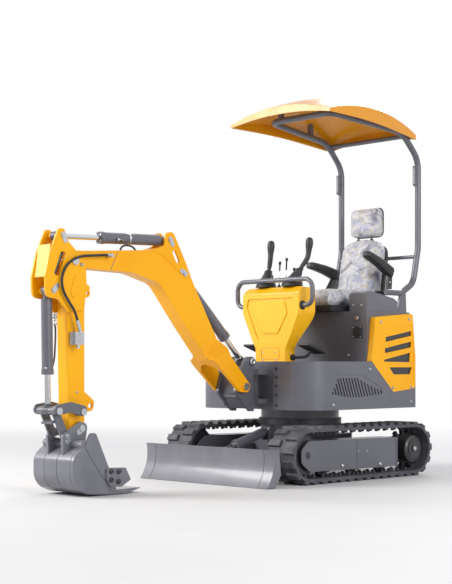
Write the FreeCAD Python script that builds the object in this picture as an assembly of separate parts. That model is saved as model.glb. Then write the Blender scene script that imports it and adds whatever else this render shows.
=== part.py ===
import FreeCAD, Part
import math
import os

# Mini excavator on rubber tracks, with a swing boom, a canopy and a small dozer blade.
# Millimetres. X points to the machine's left, Y to its rear and Z up.
# The origin is on the ground under the slewing axis.

# Running gear
overall_width = 958.0
track_length = 1174.0
track_height = 302.0
track_width = 180.0
lug_height = 14.0
lug_length = 30.0
lug_count = 37
belt_thickness = 16.0
guide_height = 17.0
guide_width = 16.0
guide_gap = 26.0
frame_plate = 8.0
frame_width = 124.0
frame_bottom = 59.0
frame_top = 226.0
frame_rear = 304.0
frame_nose = 49.0
frame_seam_y = -44.0
flange_proud = 3.0
axle_radius = 20.0
roller_radius = 38.0
roller_count = 3
motor_radius = 74.0
motor_inset = 22.0
hub_bolt_radius = 18.0
wheel_gap = 0.5
wheel_side_gap = 3.0
end_flat_count = 12
sprocket_teeth = 11

# Slewing ring and chassis
deck_half_length = 235.0
deck_half_width = 205.0
deck_bottom = 105.0
deck_top = 238.0
turret_radius = 215.0
ring_radius = 232.0
ring_bottom = 292.0
ring_split = 325.0
turn_gap = 0.6

# Dozer blade
blade_width = 958.0
blade_height = 192.0
blade_front = -773.0
blade_top_front = -727.0
blade_plate = 12.0
blade_curve = 50.0
blade_lift_gap = 2.0
blade_seam = 70.0
blade_arm_x = 165.0
blade_arm_width = 44.0
blade_pivot = (-372.0, 150.0)
blade_cylinder_frame_pin = (-262.0, 262.0)
blade_cylinder_blade_pin = (-655.0, 150.0)

# House
house_half_width = 440.0
tail_radius = 655.0
skirt_bottom = 380.0
floor_top = 638.0
floor_plate = 10.0
skirt_plate = 8.0
skirt_front = -400.0
skirt_inner = 178.0
skirt_corner = 150.0
skirt_rear = 260.0
vent_count = 18
vent_width = 11.0
vent_lean = 0.4
vent_low = 462.0
vent_high = 549.0
vent_fan_bottom = (-226.0, 178.0)
vent_fan_top = (-150.0, 10.0)
vent_panel_depth = 2.5
mesh_plate = 2.0
seam_depth = 2.0
seam_width = 3.0
seat_gap = 0.3
body_half_width = 404.0
seat_box_front = 96.0
seat_box_top = 916.0
hood_plate = 6.0
cover_plate = 9.0
counterweight_top = 560.0
engine_half_width = 170.0
engine_gap = 94.0
engine_height = 200.0

# Swing bracket and post
swing_y = -430.0
ear_half_width = 50.0
bracket_y = -352.0
bracket_plate = 14.0
upper_ear = (566.0, 600.0)
lower_ear = (410.0, 437.0)
swing_pin_radius = 20.0
post_half_width = 75.0
post_plate = 18.0
pin_clearance = 0.05
side_clearance = 1.0

# Boom, stick and bucket, in the (Y, Z) plane of the boom
boom_foot = (-535.0, 505.0)
boom_cylinder_post_pin = (-465.0, 637.0)
boom_cylinder_boom_pin = (-928.0, 1088.0)
stick_cylinder_boom_pin = (-1028.0, 1253.0)
stick_pivot = (-1647.0, 1113.0)
stick_cylinder_stick_pin = (-1716.0, 1231.0)
bucket_cylinder_pin = (-1772.0, 971.0)
bucket_pivot = (-1612.0, 318.0)
rocker_pivot = (-1618.0, 397.0)
link_pivot = (-1696.0, 280.0)
linkage_pin = (-1763.0, 405.0)
boom_width = 90.0
boom_wall = 8.0
foot_plate = 20.0
foot_half_width = 97.0
stick_width = 76.0
stick_depth_y = 98.0
stick_cheek = 12.0
stick_cheek_half_width = 58.0
bucket_width = 304.0
bucket_plate = 9.0
pin_radius = 12.5
bucket_border = 3.0
bucket_seams = (-70.0, 27.0, 130.0)
small_pin_radius = 10.0
pin_head = 7.0
flag_plate = 3.0
ear_doubler = 3.0
bead_proud = 3.0
leg_root = (-725.0, 691.0)
leg_bend = 26.0
leg_notch = 66.0
hose_x = 76.0
hose_radius = 6.5
boom_fitting_place = (-1440.0, 1150.0)
valve_block_place = (-1643.0, 746.0)

# Cylinders: barrel radius, rod radius, eye radius, eye width, how far the rod still goes in
boom_cylinder = (29.0, 15.0, 22.0, 44.0, 86.0)
stick_cylinder = (28.0, 14.0, 22.0, 40.0, 154.0)
bucket_cylinder = (27.0, 14.0, 21.0, 38.0, 101.0)
blade_cylinder = (26.0, 13.0, 21.0, 38.0, 42.0)
swing_cylinder = (24.0, 12.0, 18.0, 34.0, 86.0)
eye_neck = 18.0
barrel_floor = 16.0

# Operator's place
console_front = -243.0
console_rear = -108.0
console_half_width = 210.0
console_foot_half_width = 112.0
console_foot_inset = 58.0
field_depth = 6.0
console_top = 1048.0
rail_radius = 13.0
rail_y = -212.0
rail_top = 1085.0
lever_x = 97.0
pedal_x = 205.0
seat_half_width = 245.0
seat_front = -20.0
seat_rear = 462.0
cushion_bottom = 950.0
cushion_height = 84.0
back_height = 342.0
headrest_gap = 12.0
headrest_height = 158.0
back_half_width = 202.0
headrest_half_width = 146.0

# Canopy
post_x = 292.0
post_y = 702.5
canopy_tube_radius = 18.0
canopy_front_y = 5.0
canopy_front_x = 228.0
canopy_tube_top = 2012.0
joint_z = 1722.0
mount_radius = 17.0
roof_top = 2132.0
rim_rise = 33.0
roof_thickness = 9.0

track_x = overall_width / 2 - track_width / 2
end_radius = track_height / 2
wheel_y = track_length / 2 - end_radius
belt_radius = end_radius - lug_height
belt_inner_radius = belt_radius - belt_thickness
nodes = {}


def vec(x, y, z):
    return FreeCAD.Vector(x, y, z)


def on_plane(plane, at, a, b):
    # A point of a flat outline: plane "yz" stands at x, "xz" at y and "xy" at z.
    if plane == "yz":
        return vec(at, a, b)
    if plane == "xz":
        return vec(a, at, b)
    return vec(a, b, at)


def outline(points, plane, at):
    # A closed wire through (a, b, corner radius) points, with its corners as tangent arcs.
    count = len(points)
    starts = []
    ends = []
    middles = []
    for i in range(count):
        a, b, radius = points[i]
        corner = vec(a, b, 0)
        before = vec(points[i - 1][0], points[i - 1][1], 0).sub(corner)
        after = vec(points[(i + 1) % count][0], points[(i + 1) % count][1], 0).sub(corner)
        before.normalize()
        after.normalize()
        turn = before.getAngle(after)
        if radius <= 0 or abs(turn - math.pi) < 1e-6:
            starts.append(corner)
            ends.append(corner)
            middles.append(None)
            continue
        reach = radius / math.tan(turn / 2)
        inward = before.add(after)
        inward.normalize()
        starts.append(corner.add(before * reach))
        ends.append(corner.add(after * reach))
        middles.append(corner.add(inward * (radius / math.sin(turn / 2) - radius)))
    place = lambda p: on_plane(plane, at, p.x, p.y)
    edges = []
    for i in range(count):
        if middles[i] is not None:
            edges.append(Part.Arc(place(starts[i]), place(middles[i]), place(ends[i])).toShape())
        following = (i + 1) % count
        if ends[i].distanceToPoint(starts[following]) > 1e-6:
            edges.append(Part.makeLine(place(ends[i]), place(starts[following])))
    return Part.Wire(edges)


def slab(points, plane, low, high):
    # A flat outline made solid between two positions along the plane's normal.
    face = Part.Face(outline(points, plane, low))
    return face.extrude(on_plane(plane, high - low, 0, 0))


def box(x0, x1, y0, y1, z0, z1):
    return Part.makeBox(x1 - x0, y1 - y0, z1 - z0, vec(x0, y0, z0))


def rod_x(x0, x1, point, radius):
    return Part.makeCylinder(radius, x1 - x0, vec(x0, point[0], point[1]), vec(1, 0, 0))


def rod_z(z0, z1, x, y, radius):
    return Part.makeCylinder(radius, z1 - z0, vec(x, y, z0), vec(0, 0, 1))


def rod_between(start, end, radius):
    along = end.sub(start)
    return Part.makeCylinder(radius, along.Length, start, along)


def span(x0, x1, y0, y1, z0, z1):
    # A box whose two X faces may come in either order.
    return box(min(x0, x1), max(x0, x1), y0, y1, z0, z1)


def across(points, side, near, far):
    # A plate standing along the machine on one side, between two distances from its middle.
    ends = sorted((side * near, side * far))
    return slab(points, "yz", ends[0], ends[1])


def boss(place, side, near, far, radius):
    ends = sorted((side * near, side * far))
    return rod_x(ends[0], ends[1], place, radius)


def even(*points):
    # An outline that is the same on both sides, from its right half listed downwards.
    left = [(-x, z, r) for x, z, r in reversed(points)]
    return list(points) + left


def fused(shapes):
    result = shapes[0]
    if len(shapes) > 1:
        result = result.fuse(shapes[1:])
    return result.removeSplitter()


def route(points):
    # A path of straight runs and tangent arcs through (x, y, z, bend radius) points.
    edges = []
    last = vec(*points[0][:3])
    for i in range(1, len(points) - 1):
        corner = vec(*points[i][:3])
        before = vec(*points[i - 1][:3]).sub(corner)
        after = vec(*points[i + 1][:3]).sub(corner)
        before.normalize()
        after.normalize()
        turn = before.getAngle(after)
        reach = points[i][3] / math.tan(turn / 2)
        inward = before.add(after)
        inward.normalize()
        first = corner.add(before * reach)
        second = corner.add(after * reach)
        middle = corner.add(inward * (points[i][3] / math.sin(turn / 2) - points[i][3]))
        if last.distanceToPoint(first) > 1e-6:
            edges.append(Part.makeLine(last, first))
        edges.append(Part.Arc(first, middle, second).toShape())
        last = second
    edges.append(Part.makeLine(last, vec(*points[-1][:3])))
    return Part.Wire(edges)


def tube(points, radius):
    path = route(points)
    start = vec(*points[0][:3])
    along = vec(*points[1][:3]).sub(start)
    section = Part.Wire(Part.makeCircle(radius, start, along))
    return path.makePipeShell([section], True, False)


def keep(name, *solids):
    nodes[name] = solids[0] if len(solids) == 1 else Part.makeCompound(list(solids))


# Tracks

def loop_point(distance, offset):
    # A point on the belt loop, at a distance along its outer face and an offset outwards.
    run = 2 * wheel_y
    bend = math.pi * belt_radius
    distance = distance % (2 * run + 2 * bend)
    reach = belt_radius + offset
    if distance < run:
        return (-wheel_y + distance, end_radius - reach)
    distance -= run
    if distance < bend:
        angle = distance / belt_radius
        return (wheel_y + reach * math.sin(angle), end_radius - reach * math.cos(angle))
    distance -= bend
    if distance < run:
        return (wheel_y - distance, end_radius + reach)
    angle = (distance - run) / belt_radius
    return (-wheel_y - reach * math.sin(angle), end_radius + reach * math.cos(angle))


def loop_outline(x, offset, bump_height, bump_length, phase):
    # The loop as a closed polygon, with one bump at each pitch.
    total = 4 * wheel_y + 2 * math.pi * belt_radius
    pitch = total / lug_count
    points = []
    for i in range(lug_count):
        centre = (i + phase) * pitch
        half = bump_length / 2
        for step, height in ((-half - 5, 0), (-half, bump_height), (half, bump_height), (half + 5, 0)):
            y, z = loop_point(centre + step, offset + height)
            points.append(vec(x, y, z))
    points.append(points[0])
    return Part.Face(Part.makePolygon(points))


def plain_loop(x, offset):
    # The loop without bumps: straight runs, and ends whose flats lie at the radius.
    low_y = end_flat_count
    reach = (belt_radius + offset) / math.cos(math.pi / 2 / low_y)
    points = []
    for centre, first in ((wheel_y, -math.pi / 2), (-wheel_y, math.pi / 2)):
        for i in range(low_y):
            angle = first + math.pi * (i + 0.5) / low_y
            points.append(vec(x, centre + reach * math.cos(angle), end_radius + reach * math.sin(angle)))
    points.append(points[0])
    return Part.Face(Part.makePolygon(points))


def track(side):
    # Five strips across the belt: lugs stand out of the outer ones, guide teeth into the inner ones.
    left = side * track_x - track_width / 2
    rows = (
        # from, to, lug phase, guide teeth
        (0.0, track_width / 2 - guide_gap / 2 - guide_width, 0.0, False),
        (track_width / 2 - guide_gap / 2 - guide_width, track_width / 2 - guide_gap / 2, 0.0, True),
        (track_width / 2 - guide_gap / 2, track_width / 2 + guide_gap / 2, None, False),
        (track_width / 2 + guide_gap / 2, track_width / 2 + guide_gap / 2 + guide_width, 0.5, True),
        (track_width / 2 + guide_gap / 2 + guide_width, track_width, 0.5, False),
    )
    strips = []
    for start, end, phase, guided in rows:
        x = left + start
        if phase is None:
            outer = plain_loop(x, 0)
        else:
            outer = loop_outline(x, 0, lug_height, lug_length, phase)
        if guided:
            inner = loop_outline(x, -belt_thickness, -guide_height, 8.0, 0.25)
        else:
            inner = plain_loop(x, -belt_thickness)
        ring = outer.cut(inner)
        strips.append(ring.extrude(vec(end - start, 0, 0)))
    return fused(strips)


def side_frame(side):
    # An inverted channel between the belt's runs, with a round nose and a flange at its rear end.
    half = frame_width / 2
    nose = -wheel_y - frame_nose
    points = ((nose, end_radius - 38, 30), (nose, end_radius + 30, 34), (nose + 56, frame_top, 40),
              (frame_rear, frame_top - 6, 3), (frame_rear, frame_bottom, 3), (nose + 66, frame_bottom + 6, 36))
    centre = side * track_x
    shell = slab(points, "yz", centre - half, centre + half)
    inside = box(centre - half + frame_plate, centre + half - frame_plate, nose - 5, frame_rear + 5,
                 frame_bottom - 5, frame_top - frame_plate - 6)
    idler_room = box(centre - half + frame_plate, centre + half - frame_plate, nose - 5,
                     -wheel_y + belt_inner_radius + 12, frame_bottom - 5, frame_top + 5)
    motor_plate_x = centre - side * (half - frame_plate / 2)
    motor_plate = slab(((frame_rear - 40, frame_top - 8, 0), (wheel_y + 40, end_radius + 62, 40),
                        (wheel_y + 40, end_radius - 62, 40), (frame_rear - 40, frame_bottom, 0)),
                       "yz", motor_plate_x - frame_plate / 2, motor_plate_x + frame_plate / 2)
    face = centre + side * half
    flange = span(face - side, face + side * flange_proud, frame_rear - 11, frame_rear, frame_bottom, frame_top - 6)
    seam = span(face - side * seam_depth, face + side, frame_seam_y, frame_seam_y + seam_width,
                frame_bottom - 5, frame_top + 5)
    axle = rod_x(centre - half, centre + half, (-wheel_y, end_radius), axle_radius + pin_clearance)
    frame = fused([shell.cut(inside).cut(idler_room), motor_plate, flange])
    return frame.cut([axle, seam])


def roller_places():
    first = -wheel_y + 170
    last = frame_rear - 90
    return [first + (last - first) * i / (roller_count - 1) for i in range(roller_count)]


def track_wheels():
    # The front idlers and the bottom rollers, each on its own axle.
    result = []
    half = frame_width / 2
    disc = guide_gap / 2 - wheel_side_gap
    for side in (-1, 1):
        centre = side * track_x
        idler = (-wheel_y, end_radius)
        result.append(fused([
            rod_x(centre - disc, centre + disc, idler, belt_inner_radius - wheel_gap),
            rod_x(centre - 40, centre + 40, idler, belt_inner_radius - guide_height - 8),
            rod_x(centre - half, centre + half, idler, axle_radius)]))
        for y in roller_places():
            place = (y, end_radius - belt_inner_radius + roller_radius + wheel_gap)
            shaft = half - frame_plate - seat_gap
            result.append(fused([
                rod_x(centre - disc, centre + disc, place, roller_radius),
                rod_x(centre - 32, centre + 32, place, roller_radius - guide_height - 3),
                rod_x(centre - shaft, centre + shaft, place, 12)]))
    keep("track_wheels", *result)


def sprocket(side):
    # A wheel of long radial teeth between the guide rows, with the motor drum through it.
    centre = side * track_x
    root = motor_radius + 10
    tip = belt_inner_radius - wheel_gap
    points = []
    for i in range(sprocket_teeth):
        for part, radius in ((-0.22, root), (-0.15, tip), (0.15, tip), (0.22, root)):
            angle = 2 * math.pi * (i + part) / sprocket_teeth
            points.append((wheel_y + radius * math.cos(angle), end_radius + radius * math.sin(angle), 0))
    half = guide_gap / 2 - wheel_side_gap
    wheel = slab(points, "yz", centre - half, centre + half)
    return wheel.cut(rod_x(centre - 40, centre + 40, (wheel_y, end_radius), motor_radius + 0.2))


def travel_motor(side):
    # The motor's drum, its shoulder, the hub cap and the hub bolt, stepped outwards.
    centre = side * track_x
    face = side * (overall_width / 2 - motor_inset)
    inner = centre - side * (frame_width / 2 - frame_plate - 0.2)
    hub = (wheel_y, end_radius)
    drum = rod_x(min(inner, face), max(inner, face), hub, motor_radius)
    shoulder = Part.makeCone(motor_radius - 6, motor_radius - 16, 6, vec(face, *hub), vec(side, 0, 0))
    steps = [drum, shoulder]
    for start, length, radius in ((0, 10, 46), (10, 6, hub_bolt_radius)):
        ends = sorted((face + side * (start - 1), face + side * (start + length)))
        steps.append(rod_x(ends[0], ends[1], hub, radius))
    return fused(steps)


def running_gear():
    keep("track_left", track(1))
    keep("track_right", track(-1))
    keep("side_frames", side_frame(1), side_frame(-1))
    track_wheels()
    keep("drive_sprockets", sprocket(1), sprocket(-1))
    keep("travel_motors", travel_motor(1), travel_motor(-1))


# Chassis

def chassis():
    # The deck between the side frames, its legs, the turret and the brackets of the blade.
    inner = track_x - frame_width / 2
    deck = slab(((-deck_half_width, -deck_half_length, 40), (deck_half_width, -deck_half_length, 40),
                 (deck_half_width, deck_half_length, 40), (-deck_half_width, deck_half_length, 40)),
                "xy", deck_bottom + 30, deck_top)
    legs = []
    for y in (-deck_half_length + 45, deck_half_length - 45):
        legs.append(box(-inner, inner, y - 45, y + 45, deck_bottom + 20, deck_top - 40))
    turret = rod_z(deck_top, ring_bottom, 0, 0, turret_radius)
    pieces = [deck, turret] + legs
    for x in (-blade_arm_x, blade_arm_x):
        for side in (-1, 1):
            inside = x + side * (blade_arm_width / 2 + side_clearance)
            ends = sorted((inside, inside + side * 14))
            ear = slab(((-deck_half_length + 20, deck_top - 50, 0), (blade_pivot[0] - 5, blade_pivot[1] + 30, 28),
                        (blade_pivot[0] - 5, blade_pivot[1] - 30, 28), (-deck_half_length + 20, deck_bottom + 32, 0)),
                       "yz", ends[0], ends[1])
            pieces.append(ear)
        pieces.append(rod_x(x - blade_arm_width / 2 - 20, x + blade_arm_width / 2 + 20, blade_pivot, pin_radius))
    gap = blade_cylinder[3] / 2 + side_clearance
    for side in (-1, 1):
        ends = sorted((side * gap, side * (gap + 12)))
        pin = blade_cylinder_frame_pin
        pieces.append(slab(((pin[0] + 60, deck_top - 30, 0), (pin[0] - 24, deck_top - 30, 0),
                            (pin[0] - 24, pin[1] + 24, 20), (pin[0] + 24, pin[1] + 24, 20), (pin[0] + 60, deck_top + 2, 0)),
                           "yz", ends[0], ends[1]))
    pieces.append(rod_x(-gap - 16, gap + 16, blade_cylinder_frame_pin, small_pin_radius))
    keep("chassis", fused(pieces))
    ring = rod_z(ring_bottom, ring_split, 0, 0, ring_radius).cut(rod_z(ring_bottom - 1, ring_split + 1, 0, 0, 150))
    keep("slew_ring", ring)


# Dozer blade

def blade():
    # A curved mouldboard between two cheeks, on two arms, with the ears of its cylinder.
    half = blade_width / 2
    belly = blade_front + blade_curve
    front = Part.Arc(vec(-half, blade_front, blade_lift_gap), vec(-half, belly, blade_height * 0.55),
                     vec(-half, blade_top_front, blade_height)).toShape()
    back = Part.Arc(vec(-half, blade_top_front + blade_plate, blade_height),
                    vec(-half, belly + blade_plate, blade_height * 0.55),
                    vec(-half, blade_front + blade_plate + 6, blade_lift_gap)).toShape()
    top = Part.makeLine(vec(-half, blade_top_front, blade_height), vec(-half, blade_top_front + blade_plate, blade_height))
    bottom = Part.makeLine(vec(-half, blade_front + blade_plate + 6, blade_lift_gap),
                           vec(-half, blade_front, blade_lift_gap))
    mouldboard = Part.Face(Part.Wire([front, top, back, bottom])).extrude(vec(blade_width, 0, 0))
    ahead = Part.makePolygon([vec(-half, blade_top_front, blade_height), vec(-half, blade_front - 40, blade_height),
                              vec(-half, blade_front - 40, blade_lift_gap), vec(-half, blade_front, blade_lift_gap)])
    front_space = Part.Face(Part.Wire([front.copy()] + ahead.Edges)).extrude(vec(blade_width, 0, 0))
    cheek_points = ((blade_front + 14, blade_lift_gap, 0), (blade_top_front + 2, blade_height - 1, 0),
                    (blade_top_front + 44, blade_height - 1, 6), (blade_top_front + 57, 66, 8),
                    (blade_front + 62, blade_lift_gap, 4))
    pieces = [mouldboard]
    for side in (-1, 1):
        cheek = across(cheek_points, side, half - 10, half)
        pieces.append(cheek.cut(front_space))
    back_face = belly + blade_plate
    pieces.append(box(-half + 10, half - 10, back_face - 4, back_face + 28, 80, 114))
    arm_half = blade_arm_width / 2
    for x in (-blade_arm_x, blade_arm_x):
        arm = slab(((blade_pivot[0] + 26, blade_pivot[1] + 26, 25), (blade_pivot[0] + 26, blade_pivot[1] - 26, 25),
                    (back_face + 20, 70, 0), (back_face - 2, 70, 0), (back_face - 2, 136, 0), (back_face + 40, 136, 0)),
                   "yz", x - arm_half, x + arm_half)
        pieces.append(arm.cut(rod_x(x - 2 * arm_half, x + 2 * arm_half, blade_pivot, pin_radius + pin_clearance)))
    pin_y, pin_z = blade_cylinder_blade_pin
    gap = blade_cylinder[3] / 2 + side_clearance
    ear = ((back_face - 2, 186, 0), (pin_y + 20, pin_z + 22, 18), (pin_y + 20, pin_z - 22, 18),
           (back_face + 30, 100, 0), (back_face - 2, 100, 0))
    for side in (-1, 1):
        pieces.append(across(ear, side, gap, gap + 12))
        pieces.append(boss(blade_cylinder_blade_pin, side, gap + 12, gap + 12 + pin_head, small_pin_radius + 5))
    pieces.append(box(-blade_arm_x, blade_arm_x, back_face + 100, back_face + 140, 76, 116))
    grooves = []
    for x in (-half + blade_seam, half - blade_seam):
        behind = front_space.translated(vec(0, seam_depth, 0))
        grooves.append(behind.common(box(x, x + seam_width, blade_front - 50, 0, 0, blade_height + 5)))
    keep("dozer_blade", fused(pieces).cut(grooves))


# Hydraulic cylinders

def cylinder(name, barrel_pin, rod_pin, sizes, barrel_share):
    # A barrel with its eye on barrel_pin, and a rod with its eye on rod_pin, in the boom's plane.
    start = vec(0, barrel_pin[0], barrel_pin[1])
    end = vec(0, rod_pin[0], rod_pin[1])
    ram(name, start, end, vec(1, 0, 0), sizes, barrel_share)


def level_cylinder(name, barrel_pin, rod_pin, height, sizes, barrel_share):
    # The same in a level plane, with its pins upright.
    start = vec(barrel_pin[0], barrel_pin[1], height)
    end = vec(rod_pin[0], rod_pin[1], height)
    ram(name, start, end, vec(0, 0, 1), sizes, barrel_share)


def ram(name, start, end, pin_axis, sizes, barrel_share):
    barrel_radius, rod_radius, eye_radius, eye_width, retraction = sizes
    along = end.sub(start)
    length = along.Length
    along.normalize()
    half = pin_axis * (eye_width / 2)
    mouth = start.add(along * (length * barrel_share))
    base = start.add(along * (eye_radius + eye_neck))
    eye = rod_between(start.sub(half), start.add(half), eye_radius)
    neck = rod_between(start.add(along * (eye_radius - 5)), base.add(along), eye_width / 2 - 2)
    body = rod_between(base, mouth, barrel_radius)
    gland = rod_between(mouth.sub(along * 26), mouth, barrel_radius + 2.5)
    bore = rod_between(base.add(along * barrel_floor), mouth.add(along), rod_radius + 0.1)
    hole = rod_between(start.sub(half * 2), start.add(half * 2), small_pin_radius + pin_clearance)
    keep(name + "_barrel", fused([eye, neck, body, gland]).cut([bore, hole]))
    inner_end = base.add(along * (barrel_floor + retraction))
    rod = rod_between(inner_end, end.sub(along * (eye_radius - 5)), rod_radius)
    collar = rod_between(end.sub(along * (eye_radius + 12)), end.sub(along * (eye_radius - 5)), rod_radius + 4)
    rod_eye = rod_between(end.sub(half), end.add(half), eye_radius)
    keep(name + "_rod", fused([rod, collar, rod_eye]))


# House

swing_rod_pin = (-118.0, swing_y)
swing_barrel_pin = (-205.0, -60.0)
swing_height = 510.0


def house_plan(inset, front, z, height):
    # The house seen from above: straight sides and a tail on an arc about the slewing axis.
    half = house_half_width - inset
    reach = tail_radius - inset
    side_end = math.sqrt(reach ** 2 - half ** 2)
    tail = Part.Arc(vec(half, side_end, z), vec(0, reach, z), vec(-half, side_end, z)).toShape()
    corner = skirt_corner - inset
    share = corner * (1 - math.sqrt(0.5))
    left_arc = Part.Arc(vec(half - corner, front, z), vec(half - share, front + share, z),
                        vec(half, front + corner, z)).toShape()
    right_arc = Part.Arc(vec(-half, front + corner, z), vec(-half + share, front + share, z),
                         vec(-half + corner, front, z)).toShape()
    edges = [Part.makeLine(vec(-half + corner, front, z), vec(half - corner, front, z)), left_arc,
             Part.makeLine(vec(half, front + corner, z), vec(half, side_end, z)), tail,
             Part.makeLine(vec(-half, side_end, z), vec(-half, front + corner, z)), right_arc]
    return Part.Face(Part.Wire(edges)).extrude(vec(0, 0, height))


def upper_frame():
    # Floor plate, bottom plate, the centre box and the two ears that carry the swing post.
    floor = house_plan(skirt_plate + 0.5, skirt_front + skirt_plate + 0.5, floor_top - floor_plate, floor_plate)
    bottom = house_plan(skirt_plate + 0.5, skirt_front + skirt_plate + 0.5, skirt_bottom, floor_plate)
    web_x = 84.0
    plate_half = skirt_inner - 10
    webs = []
    for side in (-1, 1):
        ends = sorted((side * web_x, side * (web_x + 14)))
        webs.append(box(ends[0], ends[1], bracket_y + 10, 420, skirt_bottom + floor_plate, floor_top - floor_plate))
    front_plate = box(-plate_half, plate_half, bracket_y, bracket_y + bracket_plate, skirt_bottom, floor_top)
    recess = box(-plate_half, plate_half, skirt_front - 5, bracket_y, skirt_bottom - 5, floor_top + 5)
    shell = fused([floor, bottom] + webs).cut(recess)
    ears = []
    for low, high in (upper_ear, lower_ear):
        ears.append(slab(((-ear_half_width, swing_y - ear_half_width, ear_half_width - 0.5),
                          (ear_half_width, swing_y - ear_half_width, ear_half_width - 0.5),
                          (ear_half_width, swing_y + 40, 0), (web_x, bracket_y, 0), (web_x, bracket_y + 40, 0),
                          (-web_x, bracket_y + 40, 0), (-web_x, bracket_y, 0), (-ear_half_width, swing_y + 40, 0)),
                         "xy", low, high))
    ring = rod_z(ring_split + turn_gap, skirt_bottom, 0, 0, ring_radius - 14)
    frame = fused([shell, front_plate, ring] + ears)
    pin = rod_z(lower_ear[0] - 5, upper_ear[1] + 5, 0, swing_y, swing_pin_radius + pin_clearance)
    lugs = []
    for low in (swing_height - swing_cylinder[3] / 2 - 11, swing_height + swing_cylinder[3] / 2 + 1):
        lugs.append(box(-web_x - 140, -web_x, swing_barrel_pin[1] - 18, swing_barrel_pin[1] + 22, low, low + 10))
    post = rod_z(swing_height - swing_cylinder[3] / 2 - 11, swing_height + swing_cylinder[3] / 2 + 11,
                 swing_barrel_pin[0], swing_barrel_pin[1], small_pin_radius)
    ram_room = box(-plate_half - 1, -34, bracket_y - 5, bracket_y + 120, swing_height - 34, swing_height + 34)
    keep("upper_frame", fused([frame.cut([pin, ram_room])] + lugs + [post]))


def skirts():
    # The painted side panels: a fan of slanted vents sits in a shallow panel with a curved lower edge.
    outer = house_plan(0, skirt_front, skirt_bottom, floor_top - skirt_bottom)
    inner = house_plan(skirt_plate, skirt_front + skirt_plate, skirt_bottom - 1, floor_top - skirt_bottom + 2)
    ring = outer.cut(inner)
    middle = box(-skirt_inner, skirt_inner, skirt_front - 5, skirt_front + 40, skirt_bottom - 2, floor_top + 2)
    tail = box(-house_half_width - 5, house_half_width + 5, skirt_rear, tail_radius + 5, skirt_bottom - 2, floor_top + 2)
    panels = ring.cut(middle.fuse(tail))
    beyond = house_half_width + 5
    vents = []
    first, last = vent_fan_bottom
    for i in range(vent_count):
        share = i / (vent_count - 1)
        y = first + (last - first) * share
        low = vent_low - 16 * math.sin(math.pi * share)
        rising = (y - first) / (vent_fan_top[0] - first) if y < vent_fan_top[0] else 1.0
        falling = (last + vent_width - y) / (last + vent_width - vent_fan_top[1]) if y > vent_fan_top[1] else 1.0
        high = low + 14 + (vent_high - low - 14) * min(rising, falling)
        lean = (high - low) * vent_lean
        for plane_at in (-beyond, house_half_width - 30):
            vents.append(slab(((y, low, 0), (y + vent_width, low, 0), (y + vent_width - lean, high, 0),
                               (y - lean, high, 0)), "yz", plane_at, plane_at + 35))
    panel_outline = ((first - 42, vent_low - 20, 14), (first + 34, vent_high + 16, 14),
                     (vent_fan_top[1] + 4, vent_high + 16, 30), (last + 40, vent_low + 18, 20),
                     (last - 60, vent_low - 26, 200), (first + 80, vent_low - 40, 200))
    pressed = [across(panel_outline, side, house_half_width - vent_panel_depth, beyond) for side in (-1, 1)]
    pieces = panels.cut(vents + pressed + [slab(cover_outline, "yz", -700, 700)])
    halves = []
    for side in (-1, 1):
        half_room = span(0, side * 600, -600, 700, 300, 700)
        flange = span(side * (skirt_inner - 8), side * (skirt_inner + 1), skirt_front, skirt_front + 60,
                      skirt_bottom + 12, floor_top - 12)
        halves.append(fused([pieces.common(half_room), flange]))
    keep("skirts", halves[1], halves[0])


def counterweight():
    # The cast tail below the covers.
    height = counterweight_top - skirt_bottom
    outer = house_plan(0, skirt_front, skirt_bottom + 0.2, height)
    core = house_plan(60, skirt_front + 60, skirt_bottom - 5, height + 20)
    rear = box(-house_half_width - 5, house_half_width + 5, skirt_rear + 1, tail_radius + 5, skirt_bottom - 5,
               counterweight_top)
    floor_space = box(-700, 700, 0, 800, skirt_bottom, skirt_bottom + floor_plate + 0.4)
    weight = outer.cut(core).common(rear).cut(floor_space.common(house_plan(skirt_plate, 0, skirt_bottom, 60)))
    keep("counterweight", weight.cut(slab(cover_outline, "yz", -700, 700)))


def body_plan(inset, front, z, height):
    # The upper body seen from above, set in from the skirts.
    half = body_half_width - inset
    reach = tail_radius - 30 - inset
    side_end = math.sqrt(reach ** 2 - half ** 2)
    tail = Part.Arc(vec(half, side_end, z), vec(0, reach, z), vec(-half, side_end, z)).toShape()
    edges = [Part.makeLine(vec(-half, front, z), vec(half, front, z)),
             Part.makeLine(vec(half, front, z), vec(half, side_end, z)), tail,
             Part.makeLine(vec(-half, side_end, z), vec(-half, front, z))]
    return Part.Face(Part.Wire(edges)).extrude(vec(0, 0, height))


def seat_box():
    # The hood under the seat: sheet walls over the engine, open below.
    outer = body_plan(0, seat_box_front, floor_top, seat_box_top - floor_top)
    inner = body_plan(hood_plate, seat_box_front + hood_plate, floor_top - 1, seat_box_top - floor_top + 1 - hood_plate)
    keep("seat_box", outer.cut(inner))


def engine_block():
    keep("engine_block", box(-engine_half_width, engine_half_width, seat_box_front + engine_gap,
                             tail_radius - engine_gap, floor_top + seat_gap, floor_top + engine_height))


cover_outline = (
    # y, z, corner radius
    (98.0, 638.0, 14.0),
    (128.0, 882.0, 14.0),
    (458.0, 908.0, 18.0),
    (488.0, 640.0, 30.0),
    (484.0, 488.0, 22.0),
    (286.0, 470.0, 12.0),
)

cover_slots = (
    # four corners, each y and z
    ((220.0, 746.0), (220.0, 773.0), (450.0, 811.0), (450.0, 784.0)),
    ((213.0, 684.0), (213.0, 711.0), (450.0, 752.0), (446.0, 718.0)),
    ((206.0, 638.0), (206.0, 648.0), (440.0, 689.0), (434.0, 634.0)),
    ((290.0, 567.0), (252.0, 606.0), (456.0, 606.0), (436.0, 567.0)),
)


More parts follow.
